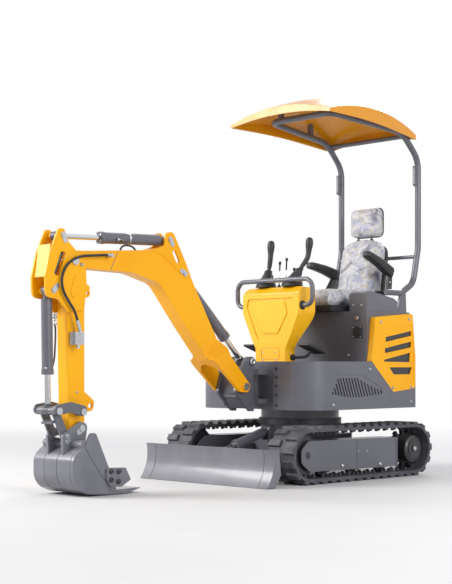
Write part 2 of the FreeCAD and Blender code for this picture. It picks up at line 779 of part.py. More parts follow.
def engine_covers():
    # Proud yellow covers with a pressed panel and four vent slots each side, backed by dark mesh.
    outer = house_plan(0, skirt_front, 460, 460)
    room = house_plan(skirt_plate + 0.2, skirt_front, 400, floor_top - 400 + seat_gap)
    room = room.fuse(body_plan(-seat_gap, 0, floor_top, 400))
    covers = outer.common(slab(cover_outline, "yz", -600, 600))
    hollow = house_plan(cover_plate, skirt_front, 455, 500)
    edge = slab(((122.0, 654.0, 8), (148.0, 866.0, 8), (440.0, 892.0, 10), (470.0, 640.0, 10), (468.0, 502.0, 10),
                 (294.0, 484.0, 8)), "yz", -600, 600)
    covers = covers.cut(hollow.common(edge)).cut(room)
    panel = slab(((181.0, 640.0, 10), (181.0, 812.0, 12), (458.0, 848.0, 14), (468.0, 640.0, 14), (466.0, 524.0, 14),
                  (288.0, 524.0, 12)), "yz", -600, 600)
    face = house_plan(-1, skirt_front, 455, 500).cut(house_plan(seam_depth, skirt_front, 455, 500))
    covers = covers.cut(panel.common(face))
    for corners in cover_slots:
        covers = covers.cut(slab([(y, z, 3) for y, z in corners], "yz", -600, 600))
    sides = [s for s in covers.Solids if s.Volume > 1e5]
    keep("engine_covers", *sides)
    mesh = house_plan(cover_plate + seat_gap, skirt_front, 455, 500)
    mesh = mesh.cut(house_plan(cover_plate + seat_gap + mesh_plate, skirt_front, 455, 500))
    upper = mesh.common(box(-600, 600, 190, 446, floor_top + 0.5, 830))
    lower = mesh.common(box(-600, 600, 240, 464, 555, floor_top - floor_plate - 0.5))
    behind = house_plan(skirt_plate + seat_gap, skirt_front, 420, 150)
    behind = behind.cut(house_plan(skirt_plate + seat_gap + mesh_plate, skirt_front, 420, 150))
    fan = behind.common(box(-600, 600, vent_fan_bottom[0] - 30, vent_fan_bottom[1] + 30, vent_low - 30, vent_high + 10))
    keep("vent_mesh", *(upper.Solids + lower.Solids + fan.Solids))


# Swing post

def swing_post():
    # Two cheek plates on a hub, with the boom's foot at the front and the swing cylinder's lugs behind.
    plate = (
        # y, z, corner radius
        (-449.0, 664.0, 12), (-500.0, 664.0, 22), (-562.0, 580.0, 20), (-590.0, 476.0, 16),
        (-480.0, 372.0, 10), (-449.0, 372.0, 6),
    )
    gap = boom_cylinder[3] / 2 + side_clearance
    inner = post_half_width - post_plate
    pieces = []
    for side in (-1, 1):
        pieces.append(across(plate, side, inner, post_half_width))
        pieces.append(boss(boom_cylinder_post_pin, side, gap, inner + 1, 22))
    low = lower_ear[1] + side_clearance
    high = upper_ear[0] - side_clearance
    pieces.append(rod_z(low, high, 0, swing_y, ear_half_width - 4))
    pieces.append(box(-inner - 1, inner + 1, boom_foot[0] - 20, swing_y - 20, low + 10, high - 10))
    pieces.append(slab(((-562, 470, 0), (-520, 470, 0), (-480, 395, 0), (-500, 388, 0)), "yz", -inner - 1, inner + 1))
    lug_y = swing_y - 20
    for low_z in (swing_height - swing_cylinder[3] / 2 - 11, swing_height + swing_cylinder[3] / 2 + 1):
        pieces.append(slab(((swing_rod_pin[0] - 18, lug_y, 17), (swing_rod_pin[0] - 18, swing_y + 20, 17),
                            (swing_rod_pin[0] + 30, swing_y + 20, 0), (-60.0, lug_y, 0), (-60.0, lug_y - 40, 0)),
                           "xy", low_z, low_z + 10))
    foot = rod_x(-200, 200, boom_foot, pin_radius + pin_clearance)
    pivot = rod_z(300, 700, 0, swing_y, swing_pin_radius + pin_clearance)
    keep("swing_post", fused(pieces).cut(foot.fuse(pivot)))
    top = upper_ear[1]
    keep("swing_pin", fused([rod_z(lower_ear[0] - 6, top + 1, 0, swing_y, swing_pin_radius),
                             rod_z(top + seat_gap, top + pin_head, 0, swing_y, swing_pin_radius + 9)]))
    keep("post_pins", *end_caps(boom_cylinder_post_pin, post_half_width, small_pin_radius + 7))


# Boom

boom_side = (
    # y, z, corner radius
    (-1690.0, 1112.0, 20), (-1640.0, 1164.0, 40), (-1577.0, 1166.0, 0), (-1164.0, 1194.0, 80),
    (-1070.0, 1222.0, 16), (-1058.0, 1288.0, 24), (-1010.0, 1296.0, 30), (-930.0, 1158.0, 100),
    (-885.0, 1072.0, 100), (-690.0, 742.0, 0), (-760.0, 640.0, 0), (-925.0, 824.0, 0), (-1097.0, 1030.0, 110),
    (-1275.0, 1076.0, 200), (-1577.0, 1083.0, 0), (-1640.0, 1064.0, 30),
)
boom_core = (
    (-1560.0, 1158.0, 0), (-1164.0, 1184.0, 60), (-1066.0, 1190.0, 20), (-1004.0, 1085.0, 20),
    (-968.0, 1034.0, 0), (-712.0, 736.0, 0), (-756.0, 662.0, 0), (-918.0, 842.0, 0), (-1093.0, 1042.0, 112),
    (-1272.0, 1086.0, 200), (-1560.0, 1093.0, 0),
)
boom_pocket = (
    # the room between the ears, for the barrels of both cylinders
    (-1260.0, 1330.0, 0), (-1260.0, 1206.0, 0), (-1080.0, 1206.0, 0), (-1046.0, 1202.0, 20),
    (-990.0, 1096.0, 20), (-958.0, 1050.0, 20), (-760.0, 860.0, 0), (-700.0, 860.0, 0), (-850.0, 1330.0, 0),
)
boom_leg = (
    # the leg's side outline, with the stretch of the box where it starts to bend
    (-736.0, 820.0, 0), (-690.0, 742.0, 0), (-640.0, 661.0, 30), (-506.0, 520.0, 32), (-520.0, 470.0, 32),
    (-580.0, 480.0, 20), (-760.0, 640.0, 0), (-820.0, 707.0, 0),
)
boom_ear = (
    (-1150.0, 1192.0, 0), (-1070.0, 1222.0, 16), (-1058.0, 1288.0, 24), (-1010.0, 1296.0, 30), (-930.0, 1158.0, 100),
    (-885.0, 1072.0, 8), (-915.0, 1062.0, 18), (-990.0, 1110.0, 120), (-1080.0, 1172.0, 120),
)
boom_ear_slot = ((-1018.0, 1194.0, 10), (-996.0, 1204.0, 10), (-962.0, 1146.0, 10), (-983.0, 1134.0, 10))


def end_caps(place, half, radius):
    # The two round heads of a pin whose shank the eye between them hides.
    return [boss(place, side, half + seat_gap, half + seat_gap + pin_head, radius) for side in (-1, 1)]


def boom_leg_plate(side):
    # One leg of the fork: a plate that bends out from the box side, cut to the leg's outline.
    along = vec(0, boom_foot[0] - leg_root[0], boom_foot[1] - leg_root[1])
    along.normalize()
    normal = vec(0, -along.z, along.y)
    start = vec(0, leg_root[0], leg_root[1]).sub(normal * 200)
    half = boom_width / 2
    outer = foot_half_width
    inner = foot_half_width - foot_plate
    plan = ((-90, half), (-leg_bend, half), (leg_bend, outer), (340, outer), (340, inner), (leg_bend + 8, inner),
            (-leg_bend + 8, half - boom_wall), (-90, half - boom_wall))
    points = [start.add(along * s).add(vec(side * x, 0, 0)) for s, x in plan]
    bent = Part.Face(Part.makePolygon(points + [points[0]])).extrude(normal * 400)
    return bent.common(slab(boom_leg, "yz", -200, 200))


def boom():
    # A welded box of two bent side plates with doubled ears, on a forked foot.
    half = boom_width / 2
    inner = half - boom_wall
    ears = half + ear_doubler
    outer = slab(boom_side, "yz", -half, half)
    pieces = [outer.cut(slab(boom_core, "yz", -inner, inner)).cut(slab(boom_pocket, "yz", -inner, inner))]
    for side in (-1, 1):
        pieces.append(across(boom_ear, side, half - 1, ears))
        for centre, sizes in ((boom_cylinder_boom_pin, boom_cylinder), (stick_cylinder_boom_pin, stick_cylinder)):
            pieces.append(boss(centre, side, sizes[3] / 2 + side_clearance, inner + 1, small_pin_radius + 8))
        pieces.append(boom_leg_plate(side))
        pieces.append(boss(boom_foot, side, foot_half_width - foot_plate, foot_half_width + 4, 30))
    root = slab(((-766.0, 645.0, 0), (-704.0, 590.0, 0), (-697.4, 597.5, 0), (-750.0, 652.0, 0)), "yz",
                -foot_half_width + 8, foot_half_width - 8)
    notch = Part.makeCylinder(leg_notch, 60, vec(0, -705.0, 560.0), vec(0, 0.664, 0.748))
    pieces.append(root.cut(notch))
    pieces.append(rod_x(-half, half, stick_pivot, 38))
    body = fused(pieces)
    cuts = [rod_x(-200, 200, boom_foot, pin_radius + pin_clearance),
            rod_x(-200, 200, stick_pivot, pin_radius + pin_clearance),
            rod_x(-200, 200, boom_cylinder_boom_pin, small_pin_radius + pin_clearance),
            rod_x(-200, 200, stick_cylinder_boom_pin, small_pin_radius + pin_clearance),
            slab(boom_ear_slot, "yz", -200, 200)]
    keep("boom", body.cut(cuts))
    keep("boom_pins", pin(boom_foot, foot_half_width + 4, pin_radius),
         flagged_pin(boom_cylinder_boom_pin, ears, small_pin_radius, 155.0),
         flagged_pin(stick_cylinder_boom_pin, ears, small_pin_radius, -60.0))
    stem = rod_x(half + seat_gap, hose_x + 9, boom_fitting_place, 10)
    nozzle = rod_between(vec(hose_x, *boom_fitting_place), vec(hose_x, boom_fitting_place[0] - 26, boom_fitting_place[1]), 8)
    keep("boom_fitting", fused([stem, nozzle]))


def pin(place, half, radius):
    # A pin that runs through both cheeks, with a round head at each end.
    near = half + seat_gap
    heads = [boss(place, side, near, near + pin_head, radius + 7) for side in (-1, 1)]
    return fused([rod_x(-near - pin_head, near + pin_head, place, radius)] + heads)


def flagged_caps(place, half, radius, angle):
    # A head on each side over a drop-shaped retaining plate, which points along the angle.
    near = half + seat_gap
    turn = math.radians(angle)
    root = radius + 6
    corners = []
    for a, b, corner_radius in ((-root, -root, radius + 2), (38.0, -11.0, 9.5), (38.0, 11.0, 9.5),
                                (-root, root, radius + 2)):
        corners.append((place[0] + a * math.cos(turn) - b * math.sin(turn),
                        place[1] + a * math.sin(turn) + b * math.cos(turn), corner_radius))
    return [fused([across(corners, side, near, near + flag_plate),
                   boss(place, side, near + flag_plate - 0.5, near + pin_head, radius + 3)]) for side in (-1, 1)]


def flagged_pin(place, half, radius, angle):
    # The same caps on a pin that runs through both cheeks.
    reach = half + seat_gap + pin_head
    return fused([rod_x(-reach, reach, place, radius)] + flagged_caps(place, half, radius, angle))



# Stick

stick_cheeks = (
    (-1743.0, 1262.0, 18), (-1712.0, 1262.0, 18), (-1684.0, 1200.0, 20), (-1640.0, 1162.0, 40),
    (-1586.0, 1150.0, 20), (-1577.0, 1000.0, 40), (-1592.0, 884.0, 0), (-1693.0, 868.0, 0), (-1745.0, 928.0, 20),
    (-1818.0, 938.0, 30), (-1822.0, 1040.0, 40), (-1798.0, 1140.0, 60),
)

stick_bead = ((-1676.0, 968.0, 8), (-1648.0, 1046.0, 14), (-1622.0, 1036.0, 14), (-1657.0, 925.0, 8))

stick_slot = ((-1727.0, 1162.0, 15), (-1701.0, 1146.0, 12), (-1745.0, 1036.0, 10), (-1773.0, 1046.0, 12))


def stick():
    # A straight box with two cheeks at its head, and bosses for the thumb at its foot.
    half = stick_width / 2
    front = bucket_pivot[0] - 62.0
    rear = front + stick_depth_y
    beam = slab(((front - 8, 930, 0), (front + 4, 360, 0), (front + 22, 300, 20), (bucket_pivot[0] + 10, 284, 30),
                 (rear, 330, 30), (rear, 1000, 0)), "yz", -half, half)
    core = slab(((front, 925, 0), (front + 12, 360, 0), (rear - 8, 360, 0), (rear - 8, 990, 0)), "yz",
                -half + 6, half - 6)
    pieces = [beam.cut(core)]
    outer = stick_cheek_half_width
    inner = outer - stick_cheek
    saddle = ((-1690.0, 960.0, 0), (-1600.0, 960.0, 0), (-1600.0, 905.0, 0), (-1690.0, 890.0, 0))
    thumb_lug = ((rear - 10, 500.0, 0), (rear + 20, 478.0, 10), (rear + 62, 446.0, 20), (rear + 52, 398.0, 24),
                 (rear - 10, 396.0, 0))
    eye_lug = ((rear - 10, 1025.0, 0), (rear + 34, 996.0, 14), (rear + 34, 950.0, 10), (rear - 10, 934.0, 0))
    for side in (-1, 1):
        pieces.append(across(stick_cheeks, side, inner, outer).cut(slab(stick_slot, "yz", -200, 200)))
        pieces.append(across(stick_bead, side, outer - 1, outer + bead_proud))
        pieces.append(across(saddle, side, half - 1, inner + 1))
        pieces.append(across(thumb_lug, side, half - 12, half))
        pieces.append(across(eye_lug, side, half - 12, half))
        pieces.append(boss(stick_cylinder_stick_pin, side, stick_cylinder[3] / 2 + side_clearance, inner + 1, 18))
        pieces.append(boss(bucket_cylinder_pin, side, bucket_cylinder[3] / 2 + side_clearance, inner + 1, 18))
    pieces.append(slab(((-1814.0, 1032.0, 0), (-1804.0, 1032.0, 0), (-1776.0, 1186.0, 0), (-1785.0, 1186.0, 0)), "yz",
                       -inner - 1, inner + 1))
    pieces.append(rod_x(-half, half, bucket_pivot, 34))
    body = fused(pieces)
    cuts = [rod_x(-200, 200, stick_pivot, pin_radius + pin_clearance),
            rod_x(-200, 200, bucket_cylinder_pin, small_pin_radius + pin_clearance),
            rod_x(-200, 200, stick_cylinder_stick_pin, small_pin_radius + pin_clearance),
            rod_x(-200, 200, bucket_pivot, pin_radius + pin_clearance),
            rod_x(-200, 200, rocker_pivot, small_pin_radius + pin_clearance),
            rod_x(-200, 200, thumb_pivot, thumb_bore), rod_x(-200, 200, thumb_eye, thumb_eye_bore)]
    keep("stick", body.cut(cuts))
    keep("stick_pins", pin(stick_pivot, outer, pin_radius),
         flagged_pin(bucket_cylinder_pin, outer, small_pin_radius, 50.0),
         *flagged_caps(stick_cylinder_stick_pin, outer, small_pin_radius, -68.0),
         pin(rocker_pivot, rocker_outer, small_pin_radius))
    block_y, block_z = valve_block_place
    block = box(half + seat_gap, hose_x + 12, block_y - 27, block_y + 27, block_z - 30, block_z + 30)
    upper = rod_between(vec(hose_x, block_y - 5, block_z + 86), vec(hose_x, block_y + 13, block_z + 29), 9)
    lower = rod_z(block_z - 48, block_z - 29, hose_x, block_y, 8)
    keep("stick_valve_block", fused([block, upper, lower]))


thumb_pivot = (-1539.0, 424.0)

thumb_eye = (-1556.0, 964.0)

thumb_bore = 12.5

thumb_eye_bore = 8.0

link_plate = (stick_width / 2 + side_clearance, stick_width / 2 + side_clearance + 10.0)

bucket_ear = (link_plate[1] + side_clearance, link_plate[1] + side_clearance + 14.0)

rocker_inner = bucket_ear[1] + seat_gap + pin_head + side_clearance

rocker_outer = rocker_inner + 12.0


def hose_route():
    # The hose's points in its plane beside the arm, each bend as large as its two runs allow.
    points = (
        # y, z
        (boom_fitting_place[0] - 30, boom_fitting_place[1]), (-1556.0, 1143.0), (-1634.0, 1136.0), (-1704.0, 1101.0),
        (-1742.0, 1037.0), (-1737.0, 973.0), (-1694.0, 912.0), (-1661.0, 873.0),
        (valve_block_place[0] - 5, valve_block_place[1] + 86),
    )
    result = []
    for i, (y, z) in enumerate(points):
        radius = 0.0
        if 0 < i < len(points) - 1:
            before = vec(0, points[i - 1][0] - y, points[i - 1][1] - z)
            after = vec(0, points[i + 1][0] - y, points[i + 1][1] - z)
            half_turn = (math.pi - before.getAngle(after)) / 2
            radius = 0.45 * min(before.Length, after.Length) / math.tan(half_turn)
        result.append((hose_x, y, z, radius))
    return result


def boom_hose():
    route_points = hose_route()
    hose = tube(route_points, hose_radius)
    print("hose radii", [round(p[3]) for p in route_points])
    print("hose volume over section times length", round(hose.Volume / (math.pi * hose_radius ** 2
                                                                         * route(route_points).Length), 4))
    keep("boom_hose", hose)


def rocker():
    # Two curved side links between the stick and the bucket cylinder's eye.
    pieces = []
    bore = rod_x(-200, 200, rocker_pivot, small_pin_radius + pin_clearance)
    link = ((linkage_pin[0] - 26, linkage_pin[1] - 22, 24), (linkage_pin[0] - 22, linkage_pin[1] + 28, 24),
            (-1690.0, 446.0, 60), (rocker_pivot[0] + 22, rocker_pivot[1] + 26, 22),
            (rocker_pivot[0] + 24, rocker_pivot[1] - 24, 22), (-1690.0, 396.0, 50))
    for side in (-1, 1):
        plate = across(link, side, rocker_inner, rocker_outer)
        ring = boss(rocker_pivot, side, stick_width / 2 + 0.5, rocker_inner + 1, 20)
        pieces.append(fused([plate, ring]).cut(bore))
    keep("side_links", *pieces)
    keep("linkage_pins", *end_caps(linkage_pin, rocker_outer, small_pin_radius + 7))


def bucket_link():
    # Two plates between the bucket's ears, joined by the tube that the rod's eye splits at the top.
    inner = bucket_cylinder[3] / 2 + side_clearance
    plate = ((linkage_pin[0] - 22, linkage_pin[1] + 12, 18), (linkage_pin[0] + 18, linkage_pin[1] + 20, 18),
             (link_pivot[0] + 21, link_pivot[1] + 4, 20), (link_pivot[0] + 8, link_pivot[1] - 22, 16),
             (link_pivot[0] - 20, link_pivot[1] - 14, 16))
    pieces = []
    for side in (-1, 1):
        pieces.append(boss(linkage_pin, side, inner, rocker_inner - side_clearance, 20))
        pieces.append(across(plate, side, link_plate[0], link_plate[1]))
    pieces.append(slab(((linkage_pin[0] - 12, linkage_pin[1] - 54, 3), (linkage_pin[0] + 12, linkage_pin[1] - 44, 3),
                        (linkage_pin[0] + 16, linkage_pin[1] - 54, 3), (linkage_pin[0] - 8, linkage_pin[1] - 64, 3)),
                       "yz", -link_plate[0] - 1, link_plate[0] + 1))
    bore = rod_x(-200, 200, link_pivot, small_pin_radius + pin_clearance)
    keep("bucket_link", fused(pieces).cut(bore))


# Bucket

bucket_side = (
    # y, z, corner radius
    (-1632.0, 300.0, 20), (-1600.0, 300.0, 20), (-1582.0, 262.0, 0), (-1491.0, 70.0, 0), (-1470.0, 10.0, 0),
    (-1640.0, 12.0, 60), (-1735.0, 50.0, 90), (-1735.0, 190.0, 70), (-1664.0, 240.0, 30),
)


def bucket():
    # A rolled wrapper between two side plates, with a tube across its back, ears, a lip and side cutters.
    half = bucket_width / 2
    outer = slab(bucket_side, "yz", -half, half)
    cavity = slab(((-1652.0, 262.0, 0), (-1652.0, 330.0, 0), (-1540.0, 330.0, 0), (-1440.0, 19.0, 0),
                   (-1640.0, 21.0, 52), (-1726.0, 56.0, 82), (-1726.0, 184.0, 62), (-1660.0, 230.0, 0)), "yz",
                  -half + bucket_plate, half - bucket_plate)
    pieces = [outer.cut(cavity)]
    lip = slab(((-1640.0, 12.0, 0), (-1500.0, 4.0, 0), (-1404.0, 4.0, 0), (-1318.0, 24.0, 0), (-1330.0, 27.0, 0),
                (-1480.0, 24.0, 0), (-1640.0, 22.0, 0)), "yz", -half, half)
    pieces.append(lip)
    border = ((-1632.0, 300.0, 20), (-1600.0, 300.0, 20), (-1582.0, 262.0, 0), (-1491.0, 70.0, 0), (-1474.0, 24.0, 0),
              (-1514.0, 24.0, 0), (-1530.0, 56.0, 0), (-1612.0, 160.0, 40), (-1662.0, 232.0, 10))
    cutter = ((-1541.0, 133.0, 14), (-1424.0, 128.0, 12), (-1391.0, 69.0, 8), (-1450.0, 38.0, 8), (-1518.0, 42.0, 14),
              (-1543.0, 80.0, 14))
    ear = ((-1728.0, 292.0, 18), (-1690.0, 312.0, 18), (-1622.0, 352.0, 20), (-1576.0, 340.0, 26), (-1590.0, 250.0, 20),
           (-1660.0, 226.0, 0), (-1722.0, 200.0, 0))
    proud = half + bucket_border
    for side in (-1, 1):
        pieces.append(across(border, side, half - 1, proud))
        pieces.append(across(cutter, side, proud - 0.5, proud + 10))
        pieces.append(across(ear, side, bucket_ear[0], bucket_ear[1]))
        pieces.append(boss(bucket_pivot, side, link_plate[0], bucket_ear[0] + 1, 18))
    pieces.append(rod_x(-half + 4, half - 4, (-1664.0, 246.0), 20))
    body = fused(pieces)
    cuts = [rod_x(-link_plate[0], link_plate[0], bucket_pivot, 56),
            rod_x(-200, 200, bucket_pivot, pin_radius + pin_clearance),
            rod_x(-200, 200, link_pivot, small_pin_radius + pin_clearance)]
    for x in bucket_seams:
        rim = outline(bucket_side, "yz", x)
        ring = Part.Face(rim).cut(Part.Face(rim.makeOffset2D(-seam_depth))).extrude(vec(seam_width, 0, 0))
        cuts.append(ring.common(box(x - 1, x + 5, -1760, -1560, 16, 226)))
    keep("bucket", body.cut(cuts))
    keep("bucket_pins", flagged_pin(bucket_pivot, bucket_ear[1], pin_radius, -140.0),
         flagged_pin(link_pivot, bucket_ear[1], small_pin_radius, -100.0))


# Operator's place

def console():
    # The yellow console: its front outline and its side outline cut into one form, with a sunk
    # hexagonal field, a raised panel in it and a small access panel at the foot.
    half = console_half_width
    foot = console_foot_half_width
    rear = console_rear - console_foot_inset
    face = slab(((-half, console_top, 18), (half, console_top, 18), (half, 905.0, 60), (half - 62, 775.0, 60),
                 (foot, 708.0, 40), (foot, floor_top + seat_gap, 0), (-foot, floor_top + seat_gap, 0),
                 (-foot, 708.0, 40), (-half + 62, 775.0, 60), (-half, 905.0, 60)),
                "xz", console_front - 40, console_rear + 40)
    side = slab(((console_front, floor_top, 0), (console_front, console_top - 36, 14),
                 (console_front + 45, console_top, 10), (console_rear, console_top, 10), (console_rear, 870.0, 60),
                 (rear, 742.0, 50), (rear, floor_top, 0)), "yz", -half - 20, half + 20)
    body = face.common(side)
    field = slab(even((172.0, 984.0, 14), (182.0, 940.0, 26), (126.0, 815.0, 60), (90.0, 752.0, 22)),
                 "xz", console_front - 5, console_front + field_depth)
    panel = slab(even((102.0, 976.0, 10), (122.0, 902.0, 12), (52.0, 792.0, 12)),
                 "xz", console_front + 1, console_front + field_depth + 1)
    lid_line = box(-half - 5, half + 5, console_front - 5, console_front + seam_depth, 1003, 1003 + seam_width)
    plate_edge = slab(even((68.0, 712.0, 8), (68.0, 646.0, 4)), "xz", console_front - 5, console_front + seam_depth)
    plate_face = slab(even((64.0, 708.0, 6), (64.0, 650.0, 3)), "xz", console_front - 6, console_front + 5)
    body = body.cut([field, lid_line, plate_edge.cut(plate_face)])
    keep("console", fused([body, panel]))


def handrail():
    side = console_half_width + rail_radius + 0.3
    out = console_half_width + 72
    points = ((-side + 13, rail_y, 944.0, 0), (-out, rail_y, 944.0, 44.0), (-out, rail_y, rail_top, 52.0),
              (out, rail_y, rail_top, 52.0), (out, rail_y, 944.0, 44.0), (side - 13, rail_y, 944.0, 0))
    keep("handrail", tube(points, rail_radius))


def levers():
    # Two joysticks, two thin levers between them and their rubber boots.
    solids = []
    for side in (-1, 1):
        x = side * lever_x
        boot = Part.makeCone(52, 20, 34, vec(x, -172, console_top + 0.3), vec(0, 0, 1))
        stem = tube(((x, -172, console_top + 20, 0), (x, -172, 1120, 30), (x + side * 10, -120, 1190, 50),
                     (x + side * 14, -100, 1312, 0)), 12)
        solids.append(fused([boot, stem]))
    for x in (-16, 22):
        solids.append(rod_between(vec(x, -150, console_top + 0.3), vec(x, -140, 1180), 4))
    keep("control_levers", *solids)


def pedals():
    # Two foot pedals: a ribbed tread on a lever from a cross bar beside the console.
    solids = []
    for side in (-1, 1):
        x = side * pedal_x
        tread = slab(((-206.0, 728.0, 6), (-196.0, 738.0, 6), (-60.0, 690.0, 6), (-64.0, 674.0, 6)), "yz", x - 45, x + 45)
        for step in range(4):
            y = -184.0 + step * 32
            ridge = box(x - 40, x + 40, y, y + 10, 690, 739 - (y + 196) * 0.353)
            tread = tread.fuse(ridge.common(box(x - 45, x + 45, -200, -60, 700 - step * 12, 745)))
        leg = slab(((-150.0, 706.0, 0), (-118.0, 694.0, 0), (-118.0, floor_top + seat_gap, 0),
                    (-150.0, floor_top + seat_gap, 0)), "yz", x - 12, x + 12)
        solids.append(fused([tread, leg]))
    keep("pedals", *solids)


def seat():
    # Pan, cushion, back and headrest, each following the cushion's underside and the seat's rear.
    half = seat_half_width
    top = cushion_bottom + cushion_height
    back_top = top + back_height
    pan_rear = seat_rear + 60
    keep("seat_pan", slab(((seat_front + 12, seat_box_top + seat_gap, 6), (seat_front + 8, cushion_bottom - seat_gap, 4),
                           (pan_rear, cushion_bottom - seat_gap, 4), (pan_rear, seat_box_top + seat_gap, 6)), "yz",
                          -half + 6, half - 6))
    keep("seat_cushion", slab(((seat_front, cushion_bottom, 10), (seat_front, top - 6, 30), (seat_rear, top, 20),
                               (seat_rear, cushion_bottom, 10)), "yz", -half, half))
    keep("seat_back", slab(((seat_rear + 6, cushion_bottom, 10), (seat_rear + 16, top + 86, 0),
                            (seat_rear + 60, back_top, 30), (seat_rear + 142, back_top, 40),
                            (seat_rear + 118, top + 86, 0), (seat_rear + 98, cushion_bottom, 10)),
                           "yz", -back_half_width, back_half_width))
    low = back_top + headrest_gap
    high = low + headrest_height
    keep("headrest", slab(((seat_rear + 80, low, 20), (seat_rear + 86, high, 26), (seat_rear + 172, high, 34),
                           (seat_rear + 168, low, 20)), "yz", -headrest_half_width, headrest_half_width))
    fittings = [rod_z(back_top + seat_gap, low - seat_gap, x, seat_rear + 98, 6) for x in (-50, 50)]
    for side in (-1, 1):
        pad = across(((seat_rear - 170, top + 206, 16), (seat_rear - 174, top + 250, 18), (seat_rear - 30, top + 200, 0),
                      (seat_rear + 84, top + 156, 20), (seat_rear + 78, top + 100, 22), (seat_rear - 40, top + 152, 0)),
                     side, back_half_width + 8, back_half_width + 62)
        hinge = across(((seat_rear + 8, top + 6, 14), (seat_rear + 30, top + 126, 10), (seat_rear + 78, top + 126, 10),
                        (seat_rear + 66, top + 6, 14)), side, back_half_width + seat_gap, back_half_width + 30)
        fittings.append(fused([pad, hinge]))
    keep("armrests", *fittings)


def control_boxes():
    # The boxes beside the seat: a chamfer towards the seat and a top that falls away to the rear.
    solids = []
    base = seat_box_top + seat_gap
    for side in (-1, 1):
        body = across(((seat_box_front + 2, base, 0), (seat_box_front - 3, base + 106, 8), (140.0, base + 108, 60),
                       (332.0, base + 76, 30), (368.0, base + 58, 8), (368.0, base, 0)),
                      side, seat_half_width + 36, body_half_width - 2)
        front = ((seat_half_width + 36, base - 1, 0), (seat_half_width + 36, base + 86, 6),
                 (seat_half_width + 56, base + 110, 6), (body_half_width, base + 110, 0), (body_half_width, base - 1, 0))
        solids.append(body.common(slab([(side * x, z, r) for x, z, r in front], "xz", 50, 450)))
    keep("control_boxes", *solids)
    x = body_half_width - 36
    key = Part.makeCylinder(11, 9, vec(x - 26, seat_box_front - seat_gap, 876), vec(0, -1, 0))
    socket = box(x - 54, x + 4, seat_box_front - 6 - seat_gap, seat_box_front - seat_gap, 770, 830)
    collar = Part.makeCylinder(22, 5, vec(x - 25, seat_box_front - 5 - seat_gap, 800), vec(0, -1, 0))
    keep("seat_box_switches", key, fused([socket, collar]))


def canopy(room):
    # One bent tube each side, joined across the front, with its joints, cross bars and gussets.
    radius = canopy_tube_radius
    foot_z = seat_box_top + 118.0
    shoulder = (post_x - 6, 560.0, canopy_tube_top - 50.0)
    side_points = ((post_x, 408.0, foot_z, 0), (post_x, 545.0, foot_z, 60), (post_x, 655.0, foot_z + 60, 90),
                   (post_x, post_y, foot_z + 266, 200), (post_x, post_y, 1820.0, 150), shoulder + (200,),
                   (canopy_front_x, canopy_front_y, canopy_tube_top, 60))
    across_points = [(-x, y, z, r) for x, y, z, r in reversed(side_points)]
    pieces = [tube(list(side_points) + across_points, radius)]
    pieces.append(rod_between(vec(-post_x, post_y - 22, 1250), vec(post_x, post_y - 22, 1250), 11))
    pieces.append(rod_between(vec(-shoulder[0], 590, shoulder[2] - 20), vec(shoulder[0], 590, shoulder[2] - 20), 13))
    grooves = []
    for side in (-1, 1):
        x = side * post_x
        pieces.append(slab(((497.0, seat_box_top + seat_gap, 0), (534.0, foot_z, 0), (580.0, foot_z, 0),
                            (586.0, seat_box_top + seat_gap, 0)), "yz", x - 6, x + 6))
        pieces.append(slab(((post_y - 10, joint_z - 66, 0), (post_y - 42, joint_z - 56, 12),
                            (post_y - 42, joint_z + 56, 12), (post_y - 10, joint_z + 66, 0)), "yz", x - 7, x + 7))
        grooves.append(rod_z(joint_z - 1.5, joint_z + 1.5, x, post_y, radius + 4).cut(
            rod_z(joint_z - 2, joint_z + 2, x, post_y, radius - seam_depth)))
    frame = fused(pieces).cut(grooves)
    keep("canopy_frame", frame)
    under = room.translated(vec(0, 0, -seat_gap))
    mounts = []
    side_slope = (shoulder[0] - canopy_front_x) / (shoulder[1] - canopy_front_y)
    for x, y in ((150.0, canopy_front_y), (canopy_front_x + 385.0 * side_slope, canopy_front_y + 385.0)):
        for side in (-1, 1):
            mount = rod_z(canopy_tube_top - 45, roof_top + 30, side * x, y, mount_radius)
            mounts += [s for s in mount.common(under).cut(frame).Solids if s.CenterOfMass.z > canopy_tube_top - 10]
    keep("roof_mounts", *mounts)


def arch(y, half, edge, crown, low):
    # One arched section across the roof, closed down to a low line.
    top = Part.Arc(vec(-half, y, edge), vec(0, y, crown), vec(half, y, edge)).toShape()
    rest = Part.makePolygon([vec(half, y, edge), vec(half, y, low), vec(-half, y, low), vec(-half, y, edge)])
    return Part.Wire([top] + rest.Edges)


def canopy_roof():
    # A moulded shell: its top is a loft of arches, and its rim is trimmed by a flatter arch.
    sections = (
        # y, half width, shoulder height, crown height, height of the rim's lower edge
        (-176.0, 375.0, 1992.0, 2052.0, 1975.0), (60.0, 366.0, 2036.0, 2118.0, 1972.0),
        (380.0, 348.0, 2024.0, 2116.0, 1951.0), (640.0, 325.0, 1950.0, 2010.0, 1922.0),
    )
    low = 1850.0
    outer = Part.makeLoft([arch(y, half, edge, crown, low) for y, half, edge, crown, rim in sections], True)
    wall = roof_thickness
    hollow = []
    for i, (y, half, edge, crown, rim) in enumerate(sections):
        inset = (wall, 0, 0, -wall)[i]
        hollow.append(arch(y + inset, half - wall, edge - wall, crown - wall, low))
    inner = Part.makeLoft(hollow, True)
    trims = []
    for y, half, edge, crown, rim in ((-400.0,) + sections[0][1:],) + sections + ((900.0,) + sections[3][1:],):
        drop = rim_rise * ((500.0 / half) ** 2 - 1)
        trims.append(arch(y, 500.0, rim - drop, rim + rim_rise, low - 50))
    keep("canopy_roof", outer.cut(inner).cut(Part.makeLoft(trims, True)))
    return inner


